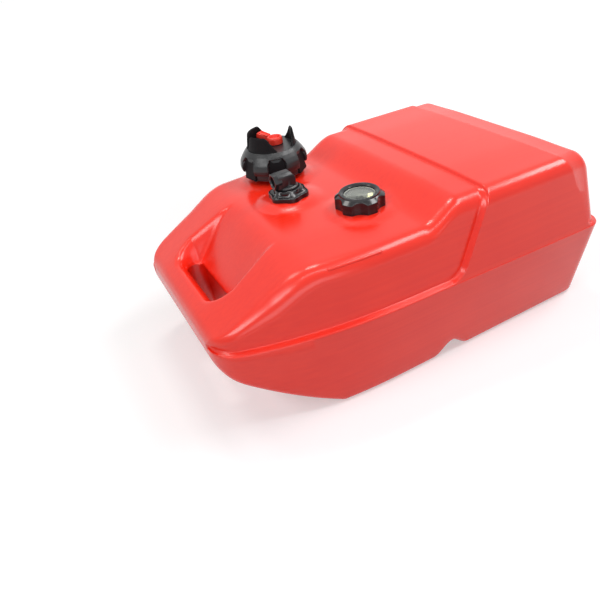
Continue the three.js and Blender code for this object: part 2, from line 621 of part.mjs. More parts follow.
// Swivelling elbow: spigot, collar and stem below a chamfered head with a hexagonal outlet
function elbowBody() {
  const e = elbow;
  const seat = bodyFlangeTop + seatGap;
  const axis = nutTop + e.axisHeight;
  const spigot = pickupBody.spigotBore - runningGap;
  const grooveLow = seat - oRing.setback - oRing.thickness;
  const turnedPart = turned([[0, seat - e.spigotLength], [spigot, seat - e.spigotLength], [spigot, grooveLow],
    [spigot - oRing.thickness, grooveLow], [spigot - oRing.thickness, seat - oRing.setback],
    [spigot, seat - oRing.setback], [spigot, seat], [e.collarRadius, seat],
    [e.collarRadius, seat + pickupNut.topWall + e.collarHeight / 2],
    [e.collarRadius - e.collarHeight / 2, seat + pickupNut.topWall + e.collarHeight],
    [e.stemRadius, seat + pickupNut.topWall + e.collarHeight], [e.stemRadius, axis], [0, axis]], 22);
  const h = e.headHeight / 2, c = e.chamfer;
  const side = [[-e.reach, -h], [e.headBack, -h], [e.headBack, h - 2 * c], [e.headBack - 1.4 * c, h],
    [-e.reach, h]];
  const headLong = raised(side, -e.headWidth / 2, e.headWidth / 2).rotateX(Math.PI / 2).translate(0, 0, axis);
  const w = e.headWidth / 2;
  const trim = raised([[-w, -h], [w, -h], [w, h - c], [w - c, h], [c - w, h], [-w, h - c]],
    -overrun, overrun).rotateX(Math.PI / 2).rotateZ(Math.PI / 2).translate(0, 0, axis);
  const head = shapeOf(solid(headLong).intersect(solid(trim)));
  const hex = Array.from({ length: 6 }, (_, i) => polar(e.hexWidth / Math.sqrt(3), 30 + 60 * i));
  const nut = raised(hex, 0, e.hexLength).rotateY(-Math.PI / 2)
    .translate(-e.reach + e.hexLength / 2, 0, axis);
  const up = drum(e.bore, seat - e.spigotLength - overrun, axis + e.bore, 12);
  const along = drum(e.bore, 0, e.reach + e.hexLength, 12).rotateY(-Math.PI / 2).translate(0, 0, axis);
  const mouth = drum(e.outletBore, 0, e.hexLength + overrun, 16).rotateY(-Math.PI / 2)
    .translate(-e.reach + e.hexLength / 4, 0, axis);
  return cut(join(turnedPart, head, nut), up, along, mouth);
}

// Highest floor under a piece that reaches this far to each side of x
const floorUnder = (x, reach) => Math.max(
  keelHeight(x - reach, tank.wall), keelHeight(x + reach, tank.wall)) - deckHeight;
const pickupFloor = floorUnder(pickupSpot.x, screen.radius);
const screenLow = pickupFloor + screen.floorGap;
const tubeLow = pickupFloor + dipTube.floorGap;
const tubeHigh = bodyFlangeTop - pickupBody.length + pickupBody.socketDepth - seatGap;

function screenCup() {
  const s = screen;
  const top = screenLow + s.height;
  const cup = turned([[0, screenLow], [s.radius, screenLow], [s.radius, top],
    [dipTube.radius + seatGap, top], [dipTube.radius + seatGap, top - s.wall],
    [s.radius - s.wall, top - s.wall], [s.radius - s.wall, screenLow + s.wall],
    [0, screenLow + s.wall]], 24);
  const tall = (s.height - 2 * s.wall) * s.windowShare;
  const windows = Array.from({ length: s.windows / 2 }, (_, i) => new THREE.BoxGeometry(
    2 * s.radius + overrun, s.windowWidth, tall).translate(0, 0, screenLow + s.height / 2)
    .rotateZ(2 * Math.PI * i / s.windows));
  return cut(cup, ...windows);
}

// Level gauge, built about its neck's axis with the deck's level as zero
const gaugeRim = gauge.bossHeight + gaugeNeck.height;
const headLow = gaugeRim + gaugeGasket.thickness + 2 * seatGap;
const headTop = headLow + gaugeHead.flange;
const ringLow = gauge.bossHeight + seatGap;
const ringTop = ringLow + gaugeRing.height;
const lensLow = ringTop - gaugeRing.lipDepth - seatGap - gaugeLens.thickness;
const dialTop = lensLow - gaugeDial.depth;
const cupFloor = gaugeRim - gaugeHead.depth;

function gaugeRingBody() {
  const g = gaugeRing;
  const inside = gaugeNeck.bore + gaugeNeck.wall + runningGap;
  const lipLow = ringTop - g.lipDepth;
  const lensSeat = gaugeLens.radius + runningGap;
  const body = turned([[inside, ringLow], [g.radius, ringLow], [g.radius, ringTop - g.chamfer],
    [g.rimRadius, ringTop - g.wallTop], [g.rimRadius, ringTop], [g.rimRadius - g.rimWidth, ringTop],
    [g.window, lipLow], [lensSeat, lipLow], [lensSeat, lensLow], [inside, ringTop - g.chamfer],
    [inside, ringLow]], 36);
  const scallops = Array.from({ length: g.scallops }, (_, i) => {
    const [x, y] = polar(g.radius + g.scallopRadius - g.scallopDepth, g.scallopStart
      + 360 * i / g.scallops);
    return place(drum(g.scallopRadius, -overrun, ringTop - g.wallTop, 20), x, y);
  });
  return cut(body, ...scallops);
}

// Cup under the lens, hung by its flange on the neck, with the strip's bearing in its floor
function gaugeHeadBody() {
  const h = gaugeHead;
  const out = h.cupRadius + h.wall;
  const flangeRadius = gaugeNeck.bore + gaugeNeck.wall;
  const hole = strip.stubRadius + runningGap;
  return turned([[hole, cupFloor], [out, cupFloor], [out, headLow], [flangeRadius, headLow],
    [flangeRadius, headTop], [out, headTop], [out, lensLow - seatGap], [h.cupRadius, lensLow - seatGap],
    [h.cupRadius, cupFloor + h.floor], [hole, cupFloor + h.floor], [hole, cupFloor]], 26);
}

function gaugeDialPlate() {
  return ringDrum(gaugeDial.hole, gaugeHead.cupRadius - seatGap, dialTop - gaugeDial.thickness, dialTop, 28);
}

const frameTop = cupFloor - seatGap;
const footLow = floorUnder(gaugeSpot.x, gaugeFrame.footRadius) + gaugeFrame.floorGap;
const footTop = footLow + gaugeFrame.footThickness;
const stripLow = footTop + seatGap;
const stripHigh = frameTop - gaugeFrame.topThickness - seatGap;
const pointerLow = dialTop + seatGap;

// Two rods between a top plate and a foot, which both carry the strip's stubs
function gaugeFrameBody() {
  const f = gaugeFrame;
  const hole = strip.stubRadius + runningGap;
  const foot = ringDrum(hole, f.footRadius, footLow, footTop, 20);
  const top = ringDrum(hole, f.footRadius, frameTop - f.topThickness, frameTop, 20);
  const rods = [1, -1].map((side) => place(drum(f.rodRadius, footLow + f.footThickness / 2,
    frameTop - f.topThickness / 2, 8), side * f.rodSpread, 0));
  return join(foot, top, ...rods);
}

// The strip twists steadily, so the float's slot fits it at every height
function twisted(width, thickness, low, high, steps) {
  const rate = strip.twist / (stripHigh - stripLow);
  const corners = [[-1, -1], [1, -1], [1, 1], [-1, 1]];
  return loft(Array.from({ length: steps + 1 }, (_, i) => {
    const z = mix(low, high, i / steps);
    const turn = radians((z - stripLow) * rate);
    return corners.map(([a, b]) => new THREE.Vector3(a * width / 2, b * thickness / 2, z)
      .applyAxisAngle(new THREE.Vector3(0, 0, 1), turn));
  }));
}

function gaugeStrip() {
  const s = strip;
  const tape = twisted(s.width, s.thickness, stripLow, stripHigh, 36);
  const foot = drum(s.stubRadius, footLow, stripLow + s.stubLength, 12);
  const spindle = drum(s.stubRadius, stripHigh - s.stubLength, pointerLow - seatGap, 12);
  return join(tape, foot, spindle);
}

const floatLow = footTop + seatGap;

function gaugeFloat() {
  const f = floatBody;
  const high = floatLow + f.height;
  const body = turned([[0, floatLow], [f.radius - f.edge, floatLow], [f.radius, floatLow + f.edge],
    [f.radius, high - f.edge], [f.radius - f.edge, high], [0, high]], 20);
  const clear = 2 * runningGap;
  const slot = twisted(strip.width + clear, strip.thickness + clear, floatLow - clear, high + clear, 8);
  const well = drum(strip.stubRadius + clear, floatLow - clear, floatLow + strip.stubLength + clear, 16);
  const guides = [1, -1].map((side) => place(drum(gaugeFrame.rodRadius + runningGap, floatLow - clear,
    high + clear, 12), side * gaugeFrame.rodSpread, 0));
  return cut(body, slot, well, ...guides);
}

function gaugePointerBody() {
  const g = gaugePointer;
  const steps = 8;
  const start = g.angle - g.sweep / 2;
  const arc = (radius, from, sweep) => Array.from({ length: steps + 1 }, (_, i) => polar(radius,
    from + sweep * i / steps));
  const sector = raised([...arc(g.radius, start, g.sweep), ...arc(g.hub / 2, start + g.sweep, -g.sweep)],
    pointerLow, pointerLow + g.thickness);
  return join(sector, drum(g.hub, pointerLow, pointerLow + 2 * g.thickness, 20));
}

// Materials
const finishes = {
  tankRed: { color: 0xe23a2c, roughness: 0.42, metalness: 0 },
  capBlack: { color: 0x2b2c30, roughness: 0.6, metalness: 0 },
  glossBlack: { color: 0x141518, roughness: 0.28, metalness: 0 },
  ventRed: { color: 0xe5382c, roughness: 0.45, metalness: 0 },
  rubber: { color: 0x1c1c1e, roughness: 0.85, metalness: 0 },
  clear: { color: 0xdfe6df, roughness: 0.08, metalness: 0, transparent: true, opacity: 0.3 },
  dial: { color: 0x7d8074, roughness: 0.55, metalness: 0 },
  pointer: { color: 0xf3efb4, roughness: 0.5, metalness: 0 },
  nylon: { color: 0xe8e6dd, roughness: 0.55, metalness: 0 },
  zinc: { color: 0xb9bcc0, roughness: 0.35, metalness: 1 },
  foam: { color: 0x2f3033, roughness: 0.9, metalness: 0 },
};

const model = new THREE.Group();
function add(name, geometry, finish, parent = model) {
  const mesh = new THREE.Mesh(geometry, new THREE.MeshStandardMaterial(finishes[finish]));
  mesh.name = name;
  parent.add(mesh);
  return mesh;
}

function groupAt(x, y, z) {
  const group = new THREE.Group();
  group.position.set(x, y, z);
  model.add(group);
  return group;
}

add('tank_shell', tankShell(), 'tankRed');

const cap = groupAt(fillerSpot.x, fillerSpot.y, deckHeight);
add('cap_shell', capOutside(), 'capBlack', cap);
add('cap_plug', capPlugBody(), 'capBlack', cap);
add('cap_gasket', ringDrum(fillerNeck.bore + seatGap, fillerNeck.bore + seatGap + capGasket.width,
  neckTop + seatGap, neckTop + seatGap + capGasket.thickness, 28), 'rubber', cap);
add('vent_knob', ventKnob(), 'ventRed', cap).position.set(vent.offsetX, vent.offsetY, capTop);
add('vent_seal', place(drum(vent.sealRadius, capCeiling - seatGap - vent.sealThickness,
  capCeiling - seatGap, 20), vent.offsetX, vent.offsetY), 'rubber', cap);

const pickupAt = groupAt(pickupSpot.x, pickupSpot.y, deckHeight);
add('pickup_nut', pickupNutBody(), 'glossBlack', pickupAt);
add('pickup_gasket', ringDrum(pickupNeck.bore + seatGap, pickupNeck.bore + pickupNeck.wall - runningGap,
  pickupRim + seatGap, pickupRim + seatGap + pickupGasket.thickness, 24), 'rubber', pickupAt);
add('pickup_body', pickupBodyShape(), 'capBlack', pickupAt);
add('pickup_elbow', elbowBody(), 'capBlack', pickupAt);
const sealLow = bodyFlangeTop + seatGap - oRing.setback - oRing.thickness;
add('pickup_oring', ringDrum(pickupBody.spigotBore - runningGap - oRing.thickness + seatGap,
  pickupBody.spigotBore - seatGap, sealLow + seatGap, sealLow + oRing.thickness - seatGap, 22), 'rubber',
  pickupAt);
add('pickup_tube', ringDrum(dipTube.bore, dipTube.radius, tubeLow, tubeHigh, 16), 'nylon', pickupAt);
add('pickup_screen', screenCup(), 'nylon', pickupAt);

const gaugeAt = groupAt(gaugeSpot.x, gaugeSpot.y, deckHeight);
add('gauge_ring', gaugeRingBody(), 'glossBlack', gaugeAt);
add('gauge_lens', drum(gaugeLens.radius, lensLow, lensLow + gaugeLens.thickness, 32), 'clear', gaugeAt);
add('gauge_gasket', ringDrum(gaugeNeck.bore + seatGap, gaugeNeck.bore + gaugeNeck.wall, gaugeRim + seatGap,
  gaugeRim + seatGap + gaugeGasket.thickness, 28), 'rubber', gaugeAt);
add('gauge_head', gaugeHeadBody(), 'nylon', gaugeAt);
add('gauge_dial', gaugeDialPlate(), 'dial', gaugeAt);
add('gauge_pointer', gaugePointerBody(), 'pointer', gaugeAt);
add('gauge_frame', gaugeFrameBody(), 'nylon', gaugeAt);
add('gauge_strip', gaugeStrip(), 'zinc', gaugeAt);
add('gauge_float', gaugeFloat(), 'foam', gaugeAt);

export default model;
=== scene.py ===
"""Portable outboard fuel tank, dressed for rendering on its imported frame.

The blow-moulded tank is lofted through its stations and sculpted with the boss and palm-recess
forms. The filler cap, fuel pick-up and level gauge are turned and sculpted by their own classes.
All sizes are millimetres until a mesh is finished, which scales it to metres.
"""

import json
import logging
import math
from dataclasses import dataclass
from enum import Enum
from typing import Callable, Sequence

import bmesh
import bpy
from mathutils import Matrix, Vector


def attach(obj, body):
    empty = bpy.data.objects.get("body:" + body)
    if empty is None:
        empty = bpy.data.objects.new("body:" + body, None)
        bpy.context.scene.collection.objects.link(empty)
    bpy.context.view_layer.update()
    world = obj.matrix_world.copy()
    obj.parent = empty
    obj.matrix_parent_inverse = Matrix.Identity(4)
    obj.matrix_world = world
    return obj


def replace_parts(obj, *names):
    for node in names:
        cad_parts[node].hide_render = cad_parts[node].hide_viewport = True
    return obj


LOG = logging.getLogger("fuel_tank")
MM = 0.001
Point = tuple[float, float]
Triple = tuple[float, float, float]
BMesh = bmesh.types.BMesh
WHITE = (1.0, 1.0, 1.0, 1.0)
# Share of a run that the rounding of its corner may take up.
TANGENT_SHARE = 0.48
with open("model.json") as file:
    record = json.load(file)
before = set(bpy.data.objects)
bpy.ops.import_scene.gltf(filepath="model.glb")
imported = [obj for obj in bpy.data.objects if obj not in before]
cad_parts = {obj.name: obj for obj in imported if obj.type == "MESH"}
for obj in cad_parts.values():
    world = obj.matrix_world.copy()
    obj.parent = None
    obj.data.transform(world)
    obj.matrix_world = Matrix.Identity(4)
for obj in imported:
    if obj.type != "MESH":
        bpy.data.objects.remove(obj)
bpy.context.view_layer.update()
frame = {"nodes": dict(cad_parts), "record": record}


def clamp(value: float, low: float = 0.0, high: float = 1.0) -> float:
    """Keep a value between two limits."""
    return max(low, min(high, value))


def mix(start: float, end: float, share: float) -> float:
    """Go from start to end by a share."""
    return start + (end - start) * share


def ease(share: float) -> float:
    """Smooth step from 0 to 1."""
    t = clamp(share)
    return t * t * (3.0 - 2.0 * t)


def soft_min(a: float, b: float, blend: float) -> float:
    """Lower of two values, with a rounded crossing.

    Args:
        a: first value.
        b: second value.
        blend: how wide the rounded crossing is.

    Returns:
        The blended minimum.
    """
    h = clamp(0.5 + 0.5 * (b - a) / blend)
    return mix(b, a, h) - blend * h * (1.0 - h)


def edge_drop(distance: float, radius: float) -> float:
    """How far a rounded edge has fallen at a distance from the face that it meets."""
    rest = radius - max(0.0, distance)
    return radius - math.sqrt(max(0.0, radius * radius - rest * rest)) if rest > 0 else 0.0


def round_corner(before: Vector, corner: Vector, after: Vector, radius: float, steps: int) -> list[Vector]:
    """Points of the arc that rounds a corner.

    Args:
        before: a point on the run that comes in.
        corner: the sharp corner.
        after: a point on the run that leaves.
        radius: radius of the arc.
        steps: number of arc segments.

    Returns:
        steps + 1 points from the first tangent point to the second.
    """
    come, leave = (before - corner), (after - corner)
    half = come.angle(leave) / 2.0
    setback = min(radius / math.tan(half), come.length * TANGENT_SHARE, leave.length * TANGENT_SHARE)
    start = corner + come.normalized() * setback
    end = corner + leave.normalized() * setback
    points = []
    for i in range(steps + 1):
        t = i / steps
        weight = math.sin(half)
        a, b, c = (1 - t) ** 2, 2 * t * (1 - t) * weight, t * t
        points.append((start * a + corner * b + end * c) / (a + b + c))
    return points


def placed(name: str, data: bpy.types.ID) -> bpy.types.Object:
    """Make an object of some data and link it to the scene.

    Args:
        name: the object's name.
        data: its mesh, camera or lamp.

    Returns:
        The object.
    """
    made = bpy.data.objects.new(name, data)
    bpy.context.scene.collection.objects.link(made)
    return made


class Slot(Enum):
    """Material slots of the record."""

    TANK = "tank_red"
    CAP = "cap_black"
    GRIP = "cap_black_grip"
    GLOSS = "gloss_black"
    MARKS = "dial_marks"
    VENT = "vent_red"
    SEAL = "seal_rubber"
    LENS = "lens_clear"
    DIAL = "dial_grey"
    POINTER = "pointer_yellow"
    NYLON = "nylon"
    STRIP = "strip_steel"
    FOAM = "float_foam"


class Graph:
    """Short hand for wiring shader nodes."""

    def __init__(self, tree: bpy.types.NodeTree) -> None:
        """Wrap a node tree."""
        self.tree = tree

    def node(self, kind: str, **settings: object) -> bpy.types.Node:
        """Add a node.

        Args:
            kind: the node's type name.
            **settings: attributes to set, or inputs to set or link when they start with in_.

        Returns:
            The new node.
        """
        made = self.tree.nodes.new(kind)
        for key, value in settings.items():
            if not key.startswith("in_"):
                setattr(made, key, value)
                continue
            socket = made.inputs[key[3:].replace("_", " ")]
            if isinstance(value, bpy.types.NodeSocket):
                self.link(value, socket)
            else:
                socket.default_value = value
        return made

    def link(self, source: bpy.types.NodeSocket, target: bpy.types.NodeSocket) -> None:
        """Join two sockets."""
        self.tree.links.new(source, target)

    def math(self, kind: str, a: object, b: object = 0.0) -> bpy.types.NodeSocket:
        """Math node on two sockets or numbers.

        Args:
            kind: the operation.
            a: first socket or number.
            b: second socket or number.

        Returns:
            The result's socket.
        """
        made = self.node("ShaderNodeMath", operation=kind)
        for i, value in enumerate((a, b)):
            if isinstance(value, (int, float)):
                made.inputs[i].default_value = value
            else:
                self.link(value, made.inputs[i])
        return made.outputs[0]


def new_group(name: str, inputs: dict[str, float], outputs: Sequence[str]
              ) -> tuple[bpy.types.NodeTree, Graph, bpy.types.Node, bpy.types.Node]:
    """Make an empty shader node group whose sockets are numbers.

    Args:
        name: the group's name.
        inputs: default of each input by its name.
        outputs: name of each output.

    Returns:
        The tree, its graph, its input node and its output node.
    """
    tree = bpy.data.node_groups.new(name, "ShaderNodeTree")
    for label, default in inputs.items():
        socket = tree.interface.new_socket(label, in_out="INPUT", socket_type="NodeSocketFloat")
        socket.default_value = default
    for label in outputs:
        tree.interface.new_socket(label, in_out="OUTPUT", socket_type="NodeSocketFloat")
    graph = Graph(tree)
    return tree, graph, graph.node("NodeGroupInput"), graph.node("NodeGroupOutput")


class Effects:
    """Node groups that several finishes share, each built once."""

    def __init__(self) -> None:
        """Build the groups."""
        self.flow = self._flow_lines()
        self.speckle = self._speckle()

    def _flow_lines(self) -> bpy.types.NodeTree:
        """Fine drawn lines along the length, as blow moulding leaves them.

        Returns:
            The group.
        """
        tree, g, _, leave = new_group("Flow lines", {}, ("Lines", "Clouds"))
        place = g.node("ShaderNodeTexCoord").outputs["Object"]
        stretch = g.node("ShaderNodeMapping", in_Vector=place, in_Rotation=(0.0, 0.06, 0.05),
                         in_Scale=(2.5, 230.0, 230.0))
        lines = g.node("ShaderNodeTexNoise", in_Vector=stretch.outputs["Vector"], in_Scale=1.0,
                       in_Detail=1.5, in_Roughness=0.45)
        clouds = g.node("ShaderNodeTexNoise", in_Vector=place, in_Scale=16.0, in_Detail=2.0)
        g.link(lines.outputs["Fac"], leave.inputs["Lines"])
        g.link(clouds.outputs["Fac"], leave.inputs["Clouds"])
        return tree

    def _speckle(self) -> bpy.types.NodeTree:
        """Fine spark-eroded grain.

        Returns:
            The group.
        """
        tree, g, come, leave = new_group("Grain", {"Scale": 2500.0}, ("Height", "Tone"))
        place = g.node("ShaderNodeTexCoord").outputs["Object"]
        cells = g.node("ShaderNodeTexVoronoi", feature="SMOOTH_F1", in_Vector=place,
                       in_Scale=come.outputs["Scale"])
        tone = g.node("ShaderNodeTexNoise", in_Vector=place, in_Scale=60.0, in_Detail=3.0)
        g.link(cells.outputs["Distance"], leave.inputs["Height"])
        g.link(tone.outputs["Fac"], leave.inputs["Tone"])
        return tree


@dataclass(frozen=True)
class Finish:
    """One procedural finish, made into a material."""

    slot: Slot
    color: Triple
    shade: Triple
    roughness: float
    roughness_swing: float = 0.06
    grain_scale: float = 1500.0
    grain_height: float = 0.00002
    line_height: float = 0.0
    metallic: float = 0.0
    specular: float = 0.5
    transmission: float = 0.0

    # Ends of the colour ramp: all shade up to the first tone, all colour from the second.
    RAMP_ENDS = (0.35, 0.65)

    def _relief(self, g: Graph, effects: Effects) -> tuple[bpy.types.NodeSocket, bpy.types.NodeSocket]:
        """Wire the grain, and the flow lines where the finish has them.

        Args:
            g: the material's graph.
            effects: the shared node groups.

        Returns:
            The sockets of the tone and of the height.
        """
        grain = g.node("ShaderNodeGroup", node_tree=effects.speckle, in_Scale=self.grain_scale)
        tone = grain.outputs["Tone"]
        height = g.math("MULTIPLY", grain.outputs["Height"], self.grain_height)
        if self.line_height > 0.0:
            flow = g.node("ShaderNodeGroup", node_tree=effects.flow).outputs
            height = g.math("ADD", height, g.math("MULTIPLY", flow["Lines"], self.line_height))
            tone = g.math("ADD", g.math("MULTIPLY", flow["Lines"], 0.5),
                          g.math("MULTIPLY", flow["Clouds"], 0.5))
        return tone, height

    def _output(self, g: Graph, shader: bpy.types.Node) -> None:
        """Join the shader to the output; light passes straight through a clear finish.

        Args:
            g: the material's graph.
            shader: the principled shader.
        """
        out = g.node("ShaderNodeOutputMaterial")
        last = shader.outputs["BSDF"]
        if self.transmission > 0.0:
            join = g.node("ShaderNodeMixShader")
            g.link(g.node("ShaderNodeLightPath").outputs["Is Shadow Ray"], join.inputs[0])
            g.link(last, join.inputs[1])
            g.link(g.node("ShaderNodeBsdfTransparent").outputs["BSDF"], join.inputs[2])
            last = join.outputs[0]
        g.link(last, out.inputs["Surface"])

    def material(self, effects: Effects) -> bpy.types.Material:
        """Build the material.

        Args:
            effects: the shared node groups.

        Returns:
            The finished material.
        """
        made = bpy.data.materials.new(self.slot.value + "_finish")
        made.use_nodes = True
        made.node_tree.nodes.clear()
        g = Graph(made.node_tree)
        tone, height = self._relief(g, effects)
        colors = g.node("ShaderNodeValToRGB", in_Fac=tone)
        for element, place, color in zip(colors.color_ramp.elements, self.RAMP_ENDS,
                                         (self.shade, self.color)):
            element.position = place
            element.color = (*color, 1.0)
        rough = g.math("ADD", g.math("MULTIPLY", tone, self.roughness_swing),
                       self.roughness - self.roughness_swing / 2.0)
        bump = g.node("ShaderNodeBump", in_Strength=1.0, in_Distance=1.0, in_Height=height)
        shader = g.node("ShaderNodeBsdfPrincipled", in_Base_Color=colors.outputs["Color"],
                        in_Roughness=rough, in_Metallic=self.metallic,
                        in_Specular_IOR_Level=self.specular, in_Transmission_Weight=self.transmission,
                        in_Normal=bump.outputs["Normal"])
        self._output(g, shader)
        return made


class FinishBook:
    """All finishes of the tank, by slot."""

    FINISHES = (
        Finish(Slot.TANK, (0.92, 0.027, 0.009), (0.87, 0.021, 0.008), 0.23, 0.05, 900.0, 0.000006,
               line_height=0.00002),
        Finish(Slot.CAP, (0.016, 0.017, 0.019), (0.010, 0.010, 0.012), 0.33, 0.08, 1400.0, 0.00002,
               specular=0.45),
        # Grip finish: the matte black of the pockets. The ears take it too, where its darker black is partly
        # painted shade.
        Finish(Slot.GRIP, (0.005, 0.004, 0.005), (0.003, 0.002, 0.003), 0.60, 0.08, 1400.0, 0.00003,
               specular=0.14),
        Finish(Slot.GLOSS, (0.008, 0.007, 0.009), (0.005, 0.004, 0.006), 0.15, 0.05, 700.0, 0.000012),
        Finish(Slot.VENT, (0.92, 0.055, 0.030), (0.84, 0.036, 0.020), 0.34, 0.06, 1500.0, 0.00002),
        Finish(Slot.SEAL, (0.020, 0.020, 0.021), (0.012, 0.012, 0.013), 0.72),
        Finish(Slot.LENS, (0.93, 0.95, 0.91), (0.90, 0.93, 0.88), 0.03, 0.01, 300.0, 0.000001,
               specular=0.22, transmission=1.0),
        Finish(Slot.DIAL, (0.045, 0.047, 0.038), (0.035, 0.037, 0.030), 0.50),
        Finish(Slot.MARKS, (0.11, 0.115, 0.09), (0.09, 0.094, 0.07), 0.50),
        Finish(Slot.POINTER, (0.90, 0.86, 0.46), (0.84, 0.79, 0.40), 0.45),
        Finish(Slot.NYLON, (0.80, 0.78, 0.71), (0.72, 0.70, 0.62), 0.45),
        Finish(Slot.STRIP, (0.62, 0.63, 0.64), (0.50, 0.51, 0.53), 0.30, 0.10, metallic=1.0),
        Finish(Slot.FOAM, (0.040, 0.040, 0.043), (0.024, 0.024, 0.026), 0.88, 0.05, 500.0, 0.0002),
    )

    def __init__(self) -> None:
        """Build every material."""
        effects = Effects()
        self.materials = {f.slot: f.material(effects) for f in self.FINISHES}

    def dress(self, piece: bpy.types.Object, slot: Slot) -> None:
        """Give a piece one finish, in its first slot.

        Args:
            piece: the piece.
            slot: the finish's slot.
        """
        if piece.data.materials:
            piece.data.materials[0] = self.materials[slot]
        else:
            piece.data.materials.append(self.materials[slot])

    def dress_frame(self) -> None:
        """Give every carried-over node the finish of its slot."""
        slots = {s["node"]: Slot(s["material_slot"]) for s in frame["record"]["subparts"]}
        for name, node in frame["nodes"].items():
            self.dress(node, slots[name])
            for i in range(1, len(node.data.materials)):
                node.data.materials[i] = self.materials[slots[name]]


class Bench:
    """Bmesh work that every piece shares."""

    def __init__(self, finishes: FinishBook) -> None:
        """Keep the finishes that pieces are dressed with."""
        self.finishes = finishes

    @staticmethod
    def spun(profile: Sequence[Point], steps: int = 96, close: bool = False) -> BMesh:
        """Turn a profile about +Z.

        Args:
            profile: radius and height pairs.
            steps: number of steps round.
            close: join the profile's ends, for a ring.

        Returns:
            The turned mesh.
        """
        bm = bmesh.new()
        verts = [bm.verts.new((radius, 0.0, height)) for radius, height in profile]
        edges = [bm.edges.new(pair) for pair in zip(verts, verts[1:])]
        if close:
            edges.append(bm.edges.new((verts[-1], verts[0])))
        bmesh.ops.spin(bm, geom=verts + edges, cent=(0, 0, 0), axis=(0, 0, 1), dvec=(0, 0, 0),
                       angle=2.0 * math.pi, steps=steps, use_merge=True)
        bmesh.ops.remove_doubles(bm, verts=bm.verts, dist=1e-4)
        bmesh.ops.recalc_face_normals(bm, faces=bm.faces)
        return bm

    @staticmethod
    def loops(rings: Sequence[Sequence[Vector]], closed: bool = False) -> BMesh:
        """Bridge rings of points, each to the next.

        Args:
            rings: closed rings with as many points each.
            closed: bridge the last ring to the first, and not close the two ends.

        Returns:
            The closed skin.
        """
        bm = bmesh.new()
        made = []
        for ring in rings:
            verts = [bm.verts.new(p) for p in ring]
            made.append((verts, [bm.edges.new(pair) for pair in zip(verts, verts[1:] + verts[:1])]))
        for (_, one), (_, other) in zip(made, made[1:] + (made[:1] if closed else [])):
            bmesh.ops.bridge_loops(bm, edges=one + other)
        if not closed:
            for verts, _ in (made[0], made[-1]):
                bmesh.ops.contextual_create(bm, geom=verts)
        bmesh.ops.recalc_face_normals(bm, faces=bm.faces)
        return bm

    @staticmethod
    def prism(outline: Sequence[Point], low: float, high: float, edge: float = 0.0,
              steps: int = 2) -> BMesh:
        """Raise a flat outline and round its edges.

        Args:
            outline: corners of the outline.
            low: height of its underside.
            high: height of its top.
            edge: radius of the rounded edges; 0 keeps them sharp.
            steps: segments of the rounding.

        Returns:
            The closed prism.
        """
        bm = bmesh.new()
        verts = [bm.verts.new((x, y, low)) for x, y in outline]
        flat = bmesh.ops.contextual_create(bm, geom=verts)["faces"]
        lifted = bmesh.ops.extrude_face_region(bm, geom=flat)["geom"]
        bmesh.ops.translate(bm, verts=[v for v in lifted if isinstance(v, bmesh.types.BMVert)],
                            vec=(0.0, 0.0, high - low))
        bmesh.ops.recalc_face_normals(bm, faces=bm.faces)
        if edge > 0.0:
            Bench.rounded(bm, edge, steps)
        return bm

    @staticmethod
    def rounded(bm: BMesh, edge: float, steps: int = 2, sharper: float = 25.0) -> None:
        """Round the edges of a mesh that turn by more than an angle.

        Args:
            bm: the mesh.
            edge: radius.
            steps: segments of the rounding.
            sharper: the angle, in degrees.
        """
        limit = math.radians(sharper)
        edges = [e for e in bm.edges if len(e.link_faces) == 2 and e.calc_face_angle(0.0) > limit]
        bmesh.ops.bevel(bm, geom=edges, offset=edge, offset_type="OFFSET", segments=steps, profile=0.5,
                        affect="EDGES", clamp_overlap=True, material=-1)

    @staticmethod
    def shaped(bm: BMesh, rule: Callable[[float, float, float], Point]) -> None:
        """Move every vertex of a turned mesh within its radial plane.

        Args:
            bm: the mesh.
            rule: gives radius and height for a radius, an angle and a height.
        """
        for v in bm.verts:
            radius, angle = math.hypot(v.co.x, v.co.y), math.atan2(v.co.y, v.co.x)
            if radius > 0.01:
                out, height = rule(radius, angle, v.co.z)
                v.co = Vector((out * math.cos(angle), out * math.sin(angle), height))

    @staticmethod
    def thread(radius: float, ridge: float, pitch: float, low: float, turns: float) -> BMesh:
        """Wind one screw ridge round +Z.

        Args:
            radius: radius of its foot.
            ridge: how far it stands out, or in when negative.
            pitch: rise of one turn.
            low: height where it starts.
            turns: number of turns.

        Returns:
            The ridge.
        """
        bm = bmesh.new()
        section = [(radius, -0.26), (radius + ridge, -0.08), (radius + ridge, 0.08), (radius, 0.26)]
        verts = [bm.verts.new((r, 0.0, low + z * pitch)) for r, z in section]
        edges = [bm.edges.new(pair) for pair in zip(verts, verts[1:] + verts[:1])]
        steps = int(72 * turns)
        made = bmesh.ops.spin(bm, geom=verts + edges, cent=(0, 0, 0), axis=(0, 0, 1),
                              dvec=(0, 0, pitch * turns / steps), angle=2.0 * math.pi * turns, steps=steps)
        bmesh.ops.contextual_create(bm, geom=verts)
        bmesh.ops.contextual_create(bm, geom=[v for v in made["geom_last"]
                                              if isinstance(v, bmesh.types.BMVert)])
        bmesh.ops.recalc_face_normals(bm, faces=bm.faces)
        return bm

    @staticmethod
    def joined(first: BMesh, *rest: BMesh) -> BMesh:
        """Put several meshes into the first one.

        Args:
            first: the mesh that takes the others.
            *rest: the others, which are freed.

        Returns:
            The first mesh.
        """
        for extra in rest:
            mesh = bpy.data.meshes.new("extra")
            extra.to_mesh(mesh)
            extra.free()
            first.from_mesh(mesh)
            bpy.data.meshes.remove(mesh)
        return first

    @staticmethod
    def moved(bm: BMesh, shift: Triple) -> BMesh:
        """Shift a mesh and give it back."""
        bmesh.ops.translate(bm, verts=bm.verts, vec=shift)
        return bm

